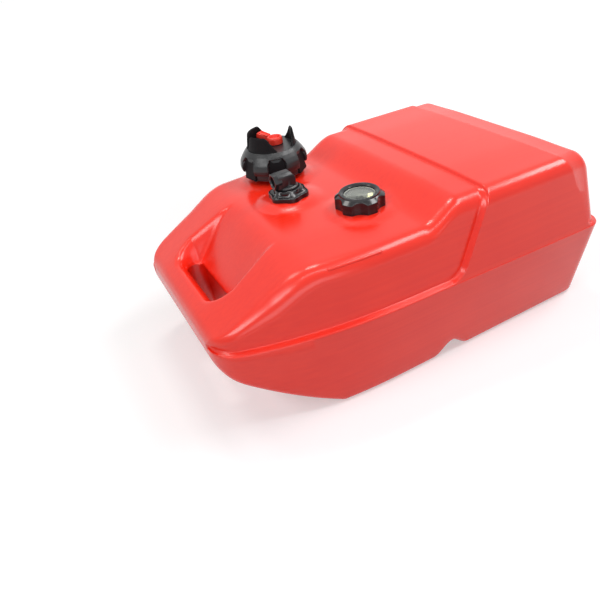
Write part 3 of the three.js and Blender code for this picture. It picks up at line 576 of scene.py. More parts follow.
    @staticmethod
    def turned(bm: BMesh, degrees: float, axis: str,
               shift: Triple = (0.0, 0.0, 0.0)) -> BMesh:
        """Turn a mesh about an axis through the origin, then shift it.

        Args:
            bm: the mesh.
            degrees: the turn.
            axis: X, Y or Z.
            shift: the shift.

        Returns:
            The same mesh.
        """
        bmesh.ops.rotate(bm, verts=bm.verts, cent=(0, 0, 0),
                         matrix=Matrix.Rotation(math.radians(degrees), 3, axis))
        return Bench.moved(bm, shift)

    @staticmethod
    def softened(corners: Sequence[Triple], steps: int) -> list[Point]:
        """Round the inner corners of a profile.

        Args:
            corners: radius, height and rounding of each corner; a rounding of 0 keeps it sharp.
            steps: arc segments for each rounded corner.

        Returns:
            The rounded profile.
        """
        flat = [Vector((r, z)) for r, z, _ in corners]
        out: list[Vector] = []
        for i, corner in enumerate(flat):
            if 0 < i < len(flat) - 1 and corners[i][2] > 0:
                out += round_corner(flat[i - 1], corner, flat[i + 1], corners[i][2], steps)
            else:
                out.append(corner)
        return [(p.x, p.y) for p in out]

    @staticmethod
    def divided(profile: Sequence[Point], longest: float) -> list[Point]:
        """Split the runs of a profile that are longer than a length.

        Args:
            profile: radius and height pairs.
            longest: the length.

        Returns:
            The profile with the points between.
        """
        out = [profile[0]]
        for a, b in zip(profile, profile[1:]):
            count = max(1, math.ceil(math.dist(a, b) / longest))
            out += [(mix(a[0], b[0], i / count), mix(a[1], b[1], i / count)) for i in range(1, count + 1)]
        return out

    @staticmethod
    def lathe(corners: Sequence[Triple], steps: int = 96, arc: int = 5, longest: float = 0.0,
              close: bool = False) -> BMesh:
        """Turn a profile with rounded corners about +Z.

        Args:
            corners: radius, height and rounding of each corner.
            steps: number of steps round.
            arc: segments of each rounded corner.
            longest: longest run that is left whole; 0 splits none.
            close: the last corner repeats the first, for a ring.

        Returns:
            The turned mesh.
        """
        profile = Bench.softened(corners, arc)
        if longest > 0.0:
            profile = Bench.divided(profile, longest)
        return Bench.spun(profile[:-1] if close else profile, steps, close)

    def piece(self, bm: BMesh, name: str, slot: Slot, body: str,
              at: Triple = (0.0, 0.0, 0.0), sharp: float = 35.0) -> bpy.types.Object:
        """Finish a mesh as a piece that rides on a body.

        Args:
            bm: the mesh, in millimetres.
            name: the piece's name.
            slot: its material slot.
            body: the body that carries it.
            at: where its own origin goes, in millimetres.
            sharp: edges steeper than this many degrees stay sharp.

        Returns:
            The piece.
        """
        bmesh.ops.translate(bm, verts=bm.verts, vec=at)
        bmesh.ops.scale(bm, verts=bm.verts, vec=(MM, MM, MM))
        mesh = bpy.data.meshes.new(name)
        bm.to_mesh(mesh)
        bm.free()
        mesh.polygons.foreach_set("use_smooth", [True] * len(mesh.polygons))
        mesh.set_sharp_from_angle(angle=math.radians(sharp))
        made = placed(name, mesh)
        self.finishes.dress(made, slot)
        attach(made, body)
        LOG.info("%s: %d vertices", name, len(mesh.vertices))
        return made

    @staticmethod
    def drum(radius: float, low: float, high: float, segments: int = 64) -> BMesh:
        """Plain upright cylinder.

        Args:
            radius: its radius.
            low: height of its foot.
            high: height of its top.
            segments: number of sides.

        Returns:
            The cylinder.
        """
        bm = bmesh.new()
        bmesh.ops.create_cone(bm, cap_ends=True, segments=segments, radius1=radius, radius2=radius,
                              depth=high - low)
        return Bench.moved(bm, (0.0, 0.0, (low + high) / 2.0))

    @staticmethod
    def taken(piece: bpy.types.Object) -> BMesh:
        """Take a scratch piece's mesh back, in millimetres, and remove the piece.

        Args:
            piece: the scratch piece.

        Returns:
            Its mesh.
        """
        bm = bmesh.new()
        bm.from_mesh(piece.data)
        bmesh.ops.scale(bm, verts=bm.verts, vec=(1.0 / MM,) * 3)
        mesh = piece.data
        bpy.data.objects.remove(piece)
        bpy.data.meshes.remove(mesh)
        return bm

    @staticmethod
    def add(piece: bpy.types.Object, extra: BMesh, sharp: float) -> None:
        """Add a mesh to a finished piece.

        Args:
            piece: the piece.
            extra: the mesh, in millimetres.
            sharp: edges steeper than this many degrees stay sharp.
        """
        bmesh.ops.scale(extra, verts=extra.verts, vec=(MM, MM, MM))
        extra.from_mesh(piece.data)
        extra.to_mesh(piece.data)
        extra.free()
        piece.data.polygons.foreach_set("use_smooth", [True] * len(piece.data.polygons))
        piece.data.set_sharp_from_angle(angle=math.radians(sharp))

    @staticmethod
    def cut(piece: bpy.types.Object, cutter: BMesh) -> None:
        """Cut a piece with a closed mesh, and apply the cut.

        Args:
            piece: the piece, finished in metres.
            cutter: the cutting mesh, in millimetres.
        """
        bmesh.ops.scale(cutter, verts=cutter.verts, vec=(MM, MM, MM))
        bmesh.ops.recalc_face_normals(cutter, faces=cutter.faces)
        mesh = bpy.data.meshes.new("cutter")
        cutter.to_mesh(mesh)
        cutter.free()
        tool = placed("cutter", mesh)
        change = piece.modifiers.new("cut", "BOOLEAN")
        change.operation = "DIFFERENCE"
        change.solver = "EXACT"
        change.object = tool
        bpy.context.view_layer.objects.active = piece
        with bpy.context.temp_override(object=piece, active_object=piece):
            bpy.ops.object.modifier_apply(modifier=change.name)
        bpy.data.objects.remove(tool)
        bpy.data.meshes.remove(mesh)


@dataclass(frozen=True)
class Boss:
    """Moulded mound under a fitting."""

    x: float
    y: float
    top: float
    foot: float
    height: float

    def rise(self, x: float, y: float) -> float:
        """Height that the mound adds at a point of the deck."""
        away = math.hypot(x - self.x, y - self.y)
        return self.height * (1.0 - ease((away - self.top) / (self.foot - self.top)))


@dataclass(frozen=True)
class Neck:
    """Moulded neck that a fitting closes."""

    x: float
    y: float
    bore: float
    outer: float
    seat: float
    rim: float

    # How deep the neck is rooted, how wide its flange is, and half the boring tool's length.
    ROOT, FLANGE, REACH = 5.0, 4.0, 35.0

    def build(self) -> BMesh:
        """Turn the neck, with a fillet at its foot and a rounded rim.

        Returns:
            The neck at its place.
        """
        low = self.seat - self.ROOT
        flange = self.outer + self.FLANGE
        neck = Bench.lathe([(self.bore, low, 0.0), (flange, low, 0.0), (flange, self.seat - 0.4, 0.0),
                            (self.outer, self.seat + 0.6, 1.6), (self.outer, self.rim, 0.9),
                            (self.bore, self.rim, 0.9), (self.bore, low, 0.0)], close=True)
        return Bench.moved(neck, (self.x, self.y, 0.0))

    def bore_tool(self) -> BMesh:
        """Cylinder that opens the tank under the neck."""
        tool = Bench.drum(self.bore, self.seat - self.REACH, self.seat + self.REACH, 96)
        return Bench.moved(tool, (self.x, self.y, 0.0))


@dataclass
class TankMoulding:
    """The blow-moulded tank, lofted through leaning stations."""

    length: float = 531.0
    width: float = 350.0
    height: float = 216.0
    parting: float = 118.0
    taper_length: float = 224.0
    taper: float = 38.0
    taper_power: float = 2.2
    nose_corner: float = 28.0
    tail_corner: float = 24.0
    upper_draft: float = 6.3
    bow_draft: float = 5.5
    stern_draft: float = 12.0
    bottom_radius: float = 10.0
    top_radius: float = 21.0
    crown: float = 1.5
    bow_length: float = 137.0
    bow_rise: float = 90.0
    bow_straight: float = 0.8
    bow_nose: float = 18.0
    tail_foot: float = 2.0
    tail_head: float = 22.5
    tail_top: float = 20.0
    deck: float = 191.0
    nose_run: float = 112.5
    nose_height: float = 129.0
    nose_lip: float = 9.0
    bend: float = 20.0
    ledge: float = 8.0
    nose_ledge: float = 3.0
    shoulder_run: float = 50.0
    shoulder_shelf: float = 31.0
    shoulder_height: float = 212.5
    band_run: float = 121.0
    band_setback: float = 26.5
    band_rear_lean: float = 38.0
    band_front_lean: float = 45.0
    lean_start: float = 95.0
    lean_power: float = 1.35
    band_lip: float = 0.8
    band_step: float = 3.0
    ridge_corner: float = 16.0
    rear_corner: float = 6.0
    ledge_rise: float = 2.6
    tail_ledge: float = 5.0
    rear_step: float = 1.5
    groove_depth: float = 17.0
    groove_half: float = 29.0
    groove_ahead: float = 2.0
    hole_front: float = -234.0
    hole_back: float = -210.0
    hole_half: float = 60.0
    hole_seam: float = 129.0
    hole_corner: float = 13.0
    hole_draft: float = 6.0
    flash: float = 0.8
    recess_half: float = 61.5
    recess_flare: float = 0.1
    recess_radius: float = 17.0
    recess_slope: float = 1.25
    recess_wall: float = 2.6
    recess_blend: float = 20.0
    recess_end_blend: float = 24.0
    recess_overlap: float = 2.0
    recess_toe: float = 3.0
    recess_reach: Point = (40.0, 45.0)
    recess_fade: float = 30.0
    nose_radius: float = 25.0
    nose_fade: float = 45.0
    bar_start: float = -128.0
    bar_length: float = 66.0
    bar_height: float = 186.0
    bar_half: float = 1.8
    bar_proud: float = 1.2
    bar_squareness: float = 0.6
    wall: float = 4.0
    bosses: tuple[Boss, ...] = (Boss(-66.5, 104.0, 40.0, 56.0, 4.0), Boss(-86.0, 24.0, 28.0, 46.0, 5.0),
                                Boss(-29.5, -59.0, 33.0, 49.0, 3.0))
    necks: tuple[Neck, ...] = (Neck(-66.5, 104.0, 24.0, 28.0, 195.0, 215.0),
                               Neck(-86.0, 24.0, 13.5, 18.5, 196.0, 203.0),
                               Neck(-29.5, -59.0, 21.4, 24.4, 194.0, 202.0))

    # Points of one station at a fineness of 1, run by run from the keel's middle to the top edge.
    KEEL, BILGE, SIDE, LEDGE, CORNER, UPPER, CREST = 5, 3, 3, 6, 7, 5, 6
    # Where the points across the top face are densest, over what share, and the steps' shares.
    DENSE_AT, DENSE_SPREAD, COARSE_STEP, DENSE_STEP = 0.48, 0.17, 0.036, 0.013
    # Stations at a fineness of 1, run by run from the nose to the tail.
    TURNS, HOLE, SLOPE, DECK, LEAN, APPROACH, RISER, BAND, REAR = 6, 18, 10, 12, 14, 9, 3, 22, 2
    # Where the hole's stations start behind the nose, how far apart they are, where the stations close
    # up before the ridge, and the least distances between neighbours, all in millimetres.
    HOLE_AFTER, HOLE_SPACING, RIDGE_APPROACH, LEAST_STEP, HOLE_GAP, TOP_STEP = 29.0, 2.4, 18.0, 0.3, 0.6, 0.2
    # How far ahead of the hole's back edge the recess's floor begins to climb.
    FLOOR_LEAD = 3.0
    # Sections along the fill bar, and points round each.
    BAR_STEPS, BAR_POINTS = 36, 24

    def __post_init__(self) -> None:
        """Work out the places along the tank."""
        self.nose = -self.length / 2.0
        self.tail = self.length / 2.0
        self.bend_x = self.nose + self.nose_run
        self.rear_ledge = self.tail - self.band_setback
        self.rear_top = self.rear_ledge - self.band_rear_lean
        self.ridge_top = self.rear_top - self.band_run
        self.ridge_ledge = self.ridge_top - self.band_front_lean
        self.lean_from = self.ridge_ledge - self.lean_start
        self.shoulder_foot = self.ridge_top - self.shoulder_shelf - self.shoulder_run
        self.groove_x = self.ridge_ledge - self.groove_ahead
        self.head_x = self.tail - self.tail_head

    def half_width(self, x: float, skin: float) -> float:
        """Half width of the plan outline on the parting line.

        Args:
            x: place along the tank.
            skin: how far inside the outer face it lies.

        Returns:
            The half width.
        """
        run = clamp((self.nose + self.taper_length - x) / self.taper_length)
        return (self.width / 2.0 - skin - self.taper * run ** self.taper_power
                - edge_drop(x - self.nose - skin, self.nose_corner - skin)
                - edge_drop(self.tail - skin - x, self.tail_corner - skin))

    def keel(self, x: float, skin: float) -> float:
        """Height of the underside.

        Args:
            x: place along the tank.
            skin: how far inside the outer face it lies.

        Returns:
            The height.
        """
        run = clamp((self.nose + self.bow_length - x) / self.bow_length)
        bow = self.bow_rise * (self.bow_straight * run + (1.0 - self.bow_straight) * run * run)
        dip = clamp(abs(x - self.groove_x) / self.groove_half)
        return (skin + bow + edge_drop(x - self.nose - skin, self.bow_nose - skin)
                + self.groove_depth * (1.0 + math.cos(math.pi * dip)) / 2.0)

    def top(self, x: float, skin: float) -> float:
        """Height of the top face on the middle line, without its crown.

        Args:
            x: place along the tank.
            skin: how far inside the outer face it lies.

        Returns:
            The height.
        """
        slope = (self.deck - self.nose_height) / self.nose_run
        past, soft = x - self.bend_x, self.bend
        fall = -past if past < -soft else (soft - past) ** 2 / (4.0 * soft) if past < soft else 0.0
        return (self.deck - skin - slope * fall
                + (self.shoulder_height - self.deck) * ease((x - self.shoulder_foot) / self.shoulder_run)
                + (self.height - self.shoulder_height) * ease((x - self.ridge_top) / self.band_step)
                - self.rear_step * ease((x - self.rear_top) / self.band_step)
                - edge_drop(x - self.nose - skin, self.nose_lip - skin)
                - edge_drop(self.head_x - skin - x, self.tail_top - skin))

    def inset(self, ledge_x: float, rise: float) -> float:
        """How far the upper side stands in from the lower one, at a height above the parting line.

        The deck body and the tail are panels with a rounded lower corner each; the step between them
        and the band, and the ledge under them, follow the distance to the panel's outline.

        Args:
            ledge_x: place on the parting line.
            rise: height above the parting line.

        Returns:
            The inset.
        """
        front = self._panel(ledge_x - self.ridge_ledge, rise, self.ridge_corner, self.band_step)
        rear = self._panel(self.rear_ledge - ledge_x, rise, self.rear_corner, self.rear_step)
        return self.band_lip + (self.ledge - self.band_lip) * front + (self.tail_ledge - self.band_lip) * rear

    def _panel(self, ahead: float, rise: float, corner: float, step: float) -> float:
        """Share by which a point lies on a panel that ends where ahead is 0.

        Args:
            ahead: distance past the panel's end.
            rise: height above the parting line.
            corner: radius of the panel's lower corner.
            step: run of the step at the panel's end.

        Returns:
            0 beside the panel, 1 on it.
        """
        over, under = ahead + corner, corner - rise
        away = (math.hypot(max(0.0, over), max(0.0, under)) + min(0.0, max(over, under)) - corner)
        reach = mix(step, self.ledge_rise, clamp(under / corner)) if over < 0.0 else step
        return ease(-away / reach)

    def recess(self, x: float, y: float, top: float) -> float:
        """Top height once the palm recess behind the hand hole is sunk in.

        Args:
            x: place along the tank.
            y: place across the tank.
            top: height of the face before the recess.

        Returns:
            The height with the recess.
        """
        if x > self.bend_x + self.recess_reach[0] or abs(y) > self.recess_half + self.recess_reach[1]:
            return top
        overlap, toe = self.recess_overlap, self.recess_toe
        floor = self.hole_seam - overlap + self.recess_slope * max(0.0, x - self.hole_back + self.FLOOR_LEAD)
        half = self.recess_half + self.recess_flare * max(0.0, x - self.hole_back)
        ahead = self.hole_front - overlap + self.recess_radius - x
        aside = abs(y) - half + self.recess_radius
        outside = (math.hypot(max(0.0, ahead), max(0.0, aside)) + min(0.0, max(ahead, aside))
                   - self.recess_radius)
        climb = outside + overlap
        pocket = floor + self.recess_wall * (climb if climb > toe
                                             else max(0.0, climb + toe) ** 2 / (4.0 * toe))
        blend = mix(self.recess_blend, self.recess_end_blend, ease(-outside / self.recess_fade))
        return soft_min(top, pocket, blend)

    def station(self, ledge_x: float, top_x: float, skin: float, fine: int) -> list[Vector]:
        """Closed outline of one station, which crosses the parting line at ledge_x and the top at top_x.

        Args:
            ledge_x: place on the parting line.
            top_x: place on the top face.
            skin: how far inside the outer face it lies.
            fine: multiplies the number of points.

        Returns:
            The points, from the middle of the underside round over +Y.
        """
        parting = self.parting - skin
        at_nose = 1.0 - clamp((ledge_x - self.nose) / self.nose_corner)
        at_tail = 1.0 - clamp((self.tail - ledge_x) / self.tail_corner)
        upper_x = ledge_x + self.nose_ledge * at_nose - self.tail_ledge * at_tail
        keel, top = self.keel(ledge_x, skin), self.top(top_x, skin)
        wide = self.half_width(ledge_x, skin)
        along = clamp((ledge_x - self.nose - self.bow_length) / (self.length - self.bow_length))
        foot = wide - (parting - keel) * math.tan(math.radians(mix(self.bow_draft, self.stern_draft, along)))
        lean = math.tan(math.radians(self.upper_draft))

        def side(rise: float) -> Vector:
            """Point of the upper side at a height above the parting line."""
            return Vector((wide - self.inset(ledge_x, rise) - rise * lean, parting + rise))

        tall = top - parting
        outline = [Vector((foot * i / (self.KEEL * fine), keel)) for i in range(self.KEEL * fine)]
        outline += round_corner(Vector((0, keel)), Vector((foot, keel)), Vector((wide, parting)),
                                self.bottom_radius, self.BILGE * fine)
        low, lip = outline[-1].copy(), Vector((wide, parting - self.band_lip))
        outline += [low.lerp(lip, i / (self.SIDE * fine)) for i in range(1, self.SIDE * fine + 1)]
        at_bow = ease((self.bend_x + self.bend - top_x) / self.nose_fade)
        edge = min(mix(self.top_radius, self.nose_radius, at_bow), tall * 0.9)
        crest = round_corner(side(tall * 0.1), side(tall), Vector((0, top)), edge, self.CREST * fine)
        last = crest[0].y - parting
        near = [self.ledge_rise * i / (self.LEDGE * fine) for i in range(self.LEDGE * fine)]
        near += [self.ledge_rise + (self.ridge_corner + 1.0) * i / (self.CORNER * fine)
                 for i in range(self.CORNER * fine)]
        near = [rise for rise in near if rise < last - self.LEAST_STEP]
        outline += [side(rise) for rise in near]
        outline += [side(mix(near[-1], last, i / (self.UPPER * fine))) for i in range(1, self.UPPER * fine)]
        outline += crest
        while len(outline) < self._count(fine):
            outline.append(outline[-1].lerp(Vector((0.0, top)), 0.004))
        inner = outline[-1].x
        spots = [inner * (1.0 - share) for share in self._across(fine)]
        crown = self.crown * clamp(tall / edge)
        outline += [Vector((y, top + crown * ease((inner - y) / inner * 2.0))) for y in spots]
        half = []
        for p in outline:
            y, z = p.x, p.y
            x = (mix(upper_x, top_x, clamp((z - parting) / tall)) if z > parting
                 else ledge_x - self.tail_foot * at_tail * (parting - z) / parting)
            half.append(Vector((x, y, z)))
        mirrored = [Vector((p.x, -p.y, p.z)) for p in half[1:-1][::-1]]
        ring = half + mirrored
        return [self._sculpt(p, top, skin) for p in ring]

    def _count(self, fine: int) -> int:
        """Number of points from the keel's middle to the end of the top edge's rounding."""
        runs = (self.KEEL, self.BILGE, self.SIDE, self.LEDGE, self.CORNER, self.UPPER, self.CREST)
        return sum(runs) * fine + 1

    def _across(self, fine: int) -> list[float]:
        """Shares across the top face from its edge to the middle, closest beside the recess.

        Args:
            fine: multiplies the number of points.

        Returns:
            The shares, without the edge itself.
        """
        shares = [0.0]
        while shares[-1] < 1.0:
            beside = math.exp(-((shares[-1] - self.DENSE_AT) / self.DENSE_SPREAD) ** 2)
            shares.append(shares[-1] + mix(self.COARSE_STEP, self.DENSE_STEP, beside) / (fine * 0.5))
        return [share / shares[-1] for share in shares[1:]]

    def _sculpt(self, p: Vector, top: float, skin: float) -> Vector:
        """Move a point of the top face onto the bosses and the palm recess.

        Args:
            p: the point.
            top: height of the top face at its station.
            skin: how far inside the outer face it lies.

        Returns:
            The moved point.
        """
        upper = clamp((p.z - (top - self.top_radius)) / self.top_radius)
        if upper <= 0.0 or p.z < self.parting - skin + 2.0:
            return p
        z = p.z + sum(boss.rise(p.x, p.y) for boss in self.bosses) * ease(upper)
        return Vector((p.x, p.y, self.recess(p.x, p.y, z + skin) - skin))

    def stations(self, skin: float, fine: int) -> list[Point]:
        """Places of all stations, closest where the form turns quickly.

        Args:
            skin: how far inside the outer face they lie.
            fine: multiplies the number of stations.

        Returns:
            Place on the parting line and place on the top face of each.
        """
        nose, tail = self.nose + skin, self.tail - skin
        round_nose, round_tail = self.nose_corner - skin, self.tail_corner - skin
        turns = self.TURNS * fine
        rounds = [1.0 - math.cos(math.pi / 2.0 * i / turns) for i in range(turns + 1)]
        hole = [self.nose + self.HOLE_AFTER + i * self.HOLE_SPACING / fine for i in range(self.HOLE * fine)]
        slope = self._spread(hole[-1], self.bend_x + self.bend, self.SLOPE * fine)
        deck = self._spread(slope[-1], self.lean_from, self.DECK * fine)
        front = [nose + s * round_nose for s in rounds]
        places = [(x, x) for x in [x for x in front if x < hole[0] - self.HOLE_GAP] + hole + slope + deck]
        before = self.RIDGE_APPROACH
        for i in range(1, self.LEAN * fine + 1):
            share = i / (self.LEAN * fine)
            places.append((mix(self.lean_from, self.ridge_ledge - before, share),
                           mix(self.lean_from, self.ridge_top - before, share ** (1.0 / self.lean_power))))
        for d in [before * i / (self.APPROACH * fine) for i in range(1, self.APPROACH * fine)]:
            places.append((self.ridge_ledge - before + d, self.ridge_top - before + d))
        for d in [self.band_step * i / (self.RISER * fine) for i in range(self.RISER * fine + 1)]:
            places.append((self.ridge_ledge + d, self.ridge_top + d))
        start = places[-1]
        places += zip(self._spread(start[0], self.rear_ledge, self.BAND * fine),
                      self._spread(start[1], self.rear_top, self.BAND * fine))
        places += [(self.rear_ledge + self.rear_step * i / (self.REAR * fine),
                    self.rear_top + self.band_step * i / (self.REAR * fine))
                   for i in range(1, self.REAR * fine + 1)]
        start = places[-1]
        for share in reversed(rounds[:-1]):
            end = (tail - share * round_tail, self.head_x - skin - share * (self.tail_top - skin))
            if end[0] > start[0] + self.LEAST_STEP:
                places.append((end[0], max(end[1], start[1] + self.TOP_STEP)))
        return places

    @staticmethod
    def _spread(start: float, end: float, count: int) -> list[float]:
        """Even places after start, up to and with end."""
        return [mix(start, end, i / count) for i in range(1, count + 1)]

    def fill_bar(self) -> BMesh:
        """Raised bar along the near top edge that marks the fill height.

        Returns:
            The bar, with rounded ends.
        """
        def squared(value: float) -> float:
            """Sine or cosine that makes the section squarer than an ellipse."""
            return math.copysign(abs(value) ** self.bar_squareness, value)

        turns = [2.0 * math.pi * k / self.BAR_POINTS for k in range(self.BAR_POINTS)]
        rings = []
        for i in range(self.BAR_STEPS + 1):
            along = self.bar_length * (1.0 - math.cos(math.pi * i / self.BAR_STEPS)) / 2.0
            x = self.bar_start + along
            ring = [p for p in self.station(x, x, 0.0, 2) if p.y < 0.0 and p.z > self.parting + 4.0]
            spot = min(range(1, len(ring) - 1), key=lambda k: abs(ring[k].z - self.bar_height))
            slope = (ring[spot + 1] - ring[spot - 1]).normalized()
            out = Vector((0.0, -abs(slope.z), abs(slope.y)))
            at = ring[spot] + slope * ((self.bar_height - ring[spot].z) / slope.z)
            end = min(along, self.bar_length - along)
            wide = math.sqrt(max(0.02, 1.0 - max(0.0, 1.0 - end / self.bar_half) ** 2))
            rings.append([at + slope * (self.bar_half * wide * squared(math.cos(a)))
                          + out * (self.bar_proud * wide * squared(math.sin(a))) for a in turns])
        return Bench.loops(rings)

    def lofted(self, skin: float, fine: int) -> BMesh:
        """Bridge every station to the next and close both ends.

        Args:
            skin: how far inside the outer face the loft lies.
            fine: multiplies the numbers of stations and points.

        Returns:
            The closed loft.
        """
        return Bench.loops([self.station(a, b, skin, fine) for a, b in self.stations(skin, fine)])

    def hand_hole(self, grow: float = 0.0) -> BMesh:
        """Tool that cuts the hand hole: a rounded slot that opens out downwards.

        Args:
            grow: wall left round the hole, for the tool that clears the cavity.

        Returns:
            The closed tool, which leaves the moulding's flash standing on the seam.
        """
        seam = self.hole_seam - grow
        levels = [(-20.0, self.hole_draft), (seam - 2.4, 0.1), (seam - 1.4, -self.flash),
                  (seam - 0.8, -self.flash), (seam - 0.1, -0.2), (seam + 24.0, -2.4)]
        rings = []
        for z, out in levels:
            front, back = self.hole_front - out - grow, self.hole_back + out + grow
            half = self.hole_half + out + grow
            radius = min(self.hole_corner + grow + out, (back - front) / 2.05)
            corners = [Vector((front, half, z)), Vector((front, -half, z)),
                       Vector((back, -half, z)), Vector((back, half, z))]
            rings.append([p for k, corner in enumerate(corners) for p in round_corner(
                corners[k - 1], corner, corners[(k + 1) % 4], radius, 10)])
        return Bench.loops(rings)

    def build(self, bench: Bench) -> None:
        """Make the tank's skin with its cavity, necks and hand hole.

        Args:
            bench: the shared bench.
        """
        inside = bench.piece(self.lofted(self.wall, 1), "cavity", Slot.TANK, "tank")
        bench.cut(inside, self.hand_hole(self.wall))
        skin = bench.piece(self.lofted(0.0, 2), "tank_skin", Slot.TANK, "tank", sharp=50.0)
        bench.cut(skin, self.hand_hole())
        bench.cut(skin, bench.taken(inside))
        for neck in self.necks:
            bench.cut(skin, neck.bore_tool())
        bench.add(skin, Bench.joined(self.fill_bar(), *[neck.build() for neck in self.necks]), 50.0)
        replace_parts(skin, "tank_shell")


def falling(count: int, first: float = 0.0) -> list[float]:
    """Angles of a ring of copies, in degrees."""
    return [first + 360.0 * i / count for i in range(count)]


def off_center(angle: float, centers: Sequence[float]) -> float:
    """Angle, in radians, from the nearest of several directions given in degrees."""
    return min(((angle - math.radians(c) + math.pi) % (2.0 * math.pi) - math.pi for c in centers), key=abs)


@dataclass
class FillerCap:
    """Ratchet cap with three ears, its threaded plug and the vent screw."""

    at: Triple = (-66.5, 104.0, 191.0)
    foot: float = 12.0
    top: float = 47.5
    ceiling: float = 43.5
    belly: float = 46.5
    lobe: float = 45.0
    skirt: float = 41.5
    lobe_foot: float = 20.5
    bore: float = 37.5
    grips: tuple[float, ...] = tuple(falling(6, -108.0))
    grip_depth: float = 3.5
    grip_half: float = 12.9
    grip_height: float = 29.0
    grip_cut: Point = (4.0, 6.0)
    grip_lean: float = 11.0
    ears: tuple[tuple[float, ...], ...] = ((-188.0, -178.0, -121.0, -97.0), (65.0, 93.0, 153.0, 163.0),
                                           (-60.0, -28.0, 2.0, 32.0))
    ear_radius: float = 33.8
    ear_thickness: float = 4.5
    ear_height: float = 20.0
    ear_lean: float = 2.8
    ear_tip_round: float = 6.0
    vent: Point = (6.5, 0.5)
    arm_angle: float = 122.0
    arm_tilt: float = 15.0
    ear_end_round: float = 1.6
    ear_edge_round: float = 1.4
    ear_foot: Point = (1.2, 4.0)
    ear_sunk: float = 2.0
    pocket_edge: float = 1.1

    def pocket(self, radius: float, angle: float, height: float) -> float:
        """How far a point of the belly lies inside the outline of a grip pocket.

        Args:
            radius: the point's radius.
            angle: its direction, in radians.
            height: its height.

        Returns:
            The distance, negative outside.
        """
        off = off_center(angle, self.grips)
        beside = self.grip_half - abs(radius * math.sin(off))
        under = self.foot + self.grip_height - height
        wide, tall = self.grip_cut
        return min(beside, under, (beside / wide + under / tall - 1.0) / math.hypot(1.0 / wide, 1.0 / tall))

    def _grip(self, radius: float, angle: float, height: float) -> Point:
        """Press the grip pockets into the belly, and undercut the lobes between them.

        Args:
            radius: radius of a point of the shell.
            angle: its direction, in radians.
            height: its height.

        Returns:
            Its new radius and height.
        """
        rim = self.bore + 1.5
        if radius < rim or height > self.top - 1.0:
            return radius, height
        back = self.belly - self.grip_depth - (height - self.foot) * math.tan(math.radians(self.grip_lean))
        flat = back / math.cos(off_center(angle, self.grips))
        share = ease(self.pocket(radius, angle, height) / self.pocket_edge)
        out = mix(self.skirt if height < self.lobe_foot else radius, min(self.belly, flat), share)
        if height < self.foot + 0.8:
            return rim + (radius - rim) * min(1.0, (out - rim) / (self.lobe - rim)), height
        return min(radius, out), height

    def shell(self) -> BMesh:
        """Turn the shell and press its pockets.

        Returns:
            The shell, with the pockets in its second material.
        """
        lobe, low, ceiling, bore = self.lobe, self.lobe_foot, self.ceiling, self.bore
        bm = Bench.lathe([
            (0.0, ceiling, 0.0), (28.5, ceiling, 0.4), (28.5, 26.6, 0.4), (31.0, 26.6, 0.4),
            (31.0, ceiling, 0.4), (33.5, ceiling, 0.8), (bore, 34.2, 2.0), (bore, self.foot, 0.6),
            (lobe, self.foot, 0.7), (lobe, low - 0.05, 0.0), (lobe, low + 0.05, 0.0), (46.1, 23.4, 1.5),
            (self.belly, 27.0, 5.0), (45.4, 33.2, 8.0), (41.9, 38.9, 8.0), (38.7, 43.4, 6.0),
            (36.3, 46.1, 1.6), (35.0, self.top, 0.8), (0.0, self.top, 0.0)], 288, longest=1.3)
        Bench.shaped(bm, self._grip)
        for face in bm.faces:
            p = face.calc_center_median()
            radius, angle = math.hypot(p.x, p.y), math.atan2(p.y, p.x)
            if radius > bore + 1.0 and self.foot + 0.3 < p.z < self.top - 2.0:
                face.material_index = 1 if self.pocket(radius, angle, p.z) > 0.9 else 0
        return bm

    def ear(self, span: Sequence[float]) -> BMesh:
        """Loft one ear through upright sections.

        Args:
            span: directions of its foot's start, its tip's start, its tip's end and its foot's end.

        Returns:
            The ear.
        """
        rings = []
        columns, rows = 30, 14
        foot_start, tip_start, tip_end, foot_end = span
        tip_arc = math.radians(tip_end - tip_start) * self.ear_radius
        for i in range(columns + 1):
            across = mix((1.0 - math.cos(math.pi * i / columns)) / 2.0, i / columns, 0.6)
            end = min(across, 1.0 - across) * tip_arc
            thin = math.sqrt(max(0.03, 1.0 - max(0.0, 1.0 - end / self.ear_end_round) ** 2))
            tall = self.ear_height + self.ear_sunk - edge_drop(end, self.ear_tip_round)
            ring = []
            for k in range(2 * rows):
                turn = k / rows
                up = turn if turn <= 1.0 else 2.0 - turn
                blunt = 1.0 - (1.0 - up) * tall / self.ear_edge_round
                round_tip = math.sqrt(max(0.0, 1.0 - max(0.0, blunt) ** 2))
                thick = mix(self.ear_thickness, self.ear_thickness * 0.5, up)
                foot = self.ear_foot[0] * max(0.0, 1.0 - up * tall / self.ear_foot[1]) ** 2
                shift = (thick / 2.0 * max(0.12, round_tip) + foot) * thin * (1.0 if turn <= 1.0 else -1.0)
                radius = self.ear_radius - self.ear_lean * up - thick / 2.0 + shift
                angle = math.radians(mix(mix(foot_start, tip_start, up), mix(foot_end, tip_end, up), across))
                ring.append(Vector((radius * math.cos(angle), radius * math.sin(angle),
                                    self.top - self.ear_sunk + up * tall)))
            rings.append(ring)
        bm = Bench.loops(rings)
        # Every face of the ear takes the darker grip finish: the ears' own black, darkened partly as painted
        # shade.
        for face in bm.faces:
            face.material_index = 1
        return bm

    def plug(self) -> BMesh:
        """Turn the plug and wind its thread."""
        return Bench.joined(Bench.lathe([
            (0.0, 24.0, 0.0), (20.0, 24.0, 1.5), (20.0, 4.0, 0.6), (22.2, 4.0, 1.0), (22.2, 26.6, 0.4),
            (28.0, 26.6, 0.5), (28.0, 29.6, 0.5), (25.0, 29.6, 0.5), (25.0, 43.2, 0.5),
            (22.0, 43.2, 0.5), (22.0, 29.6, 0.5), (0.0, 29.6, 0.0)], arc=3),
            Bench.thread(22.0, 1.4, 5.0, 7.0, 2.6))

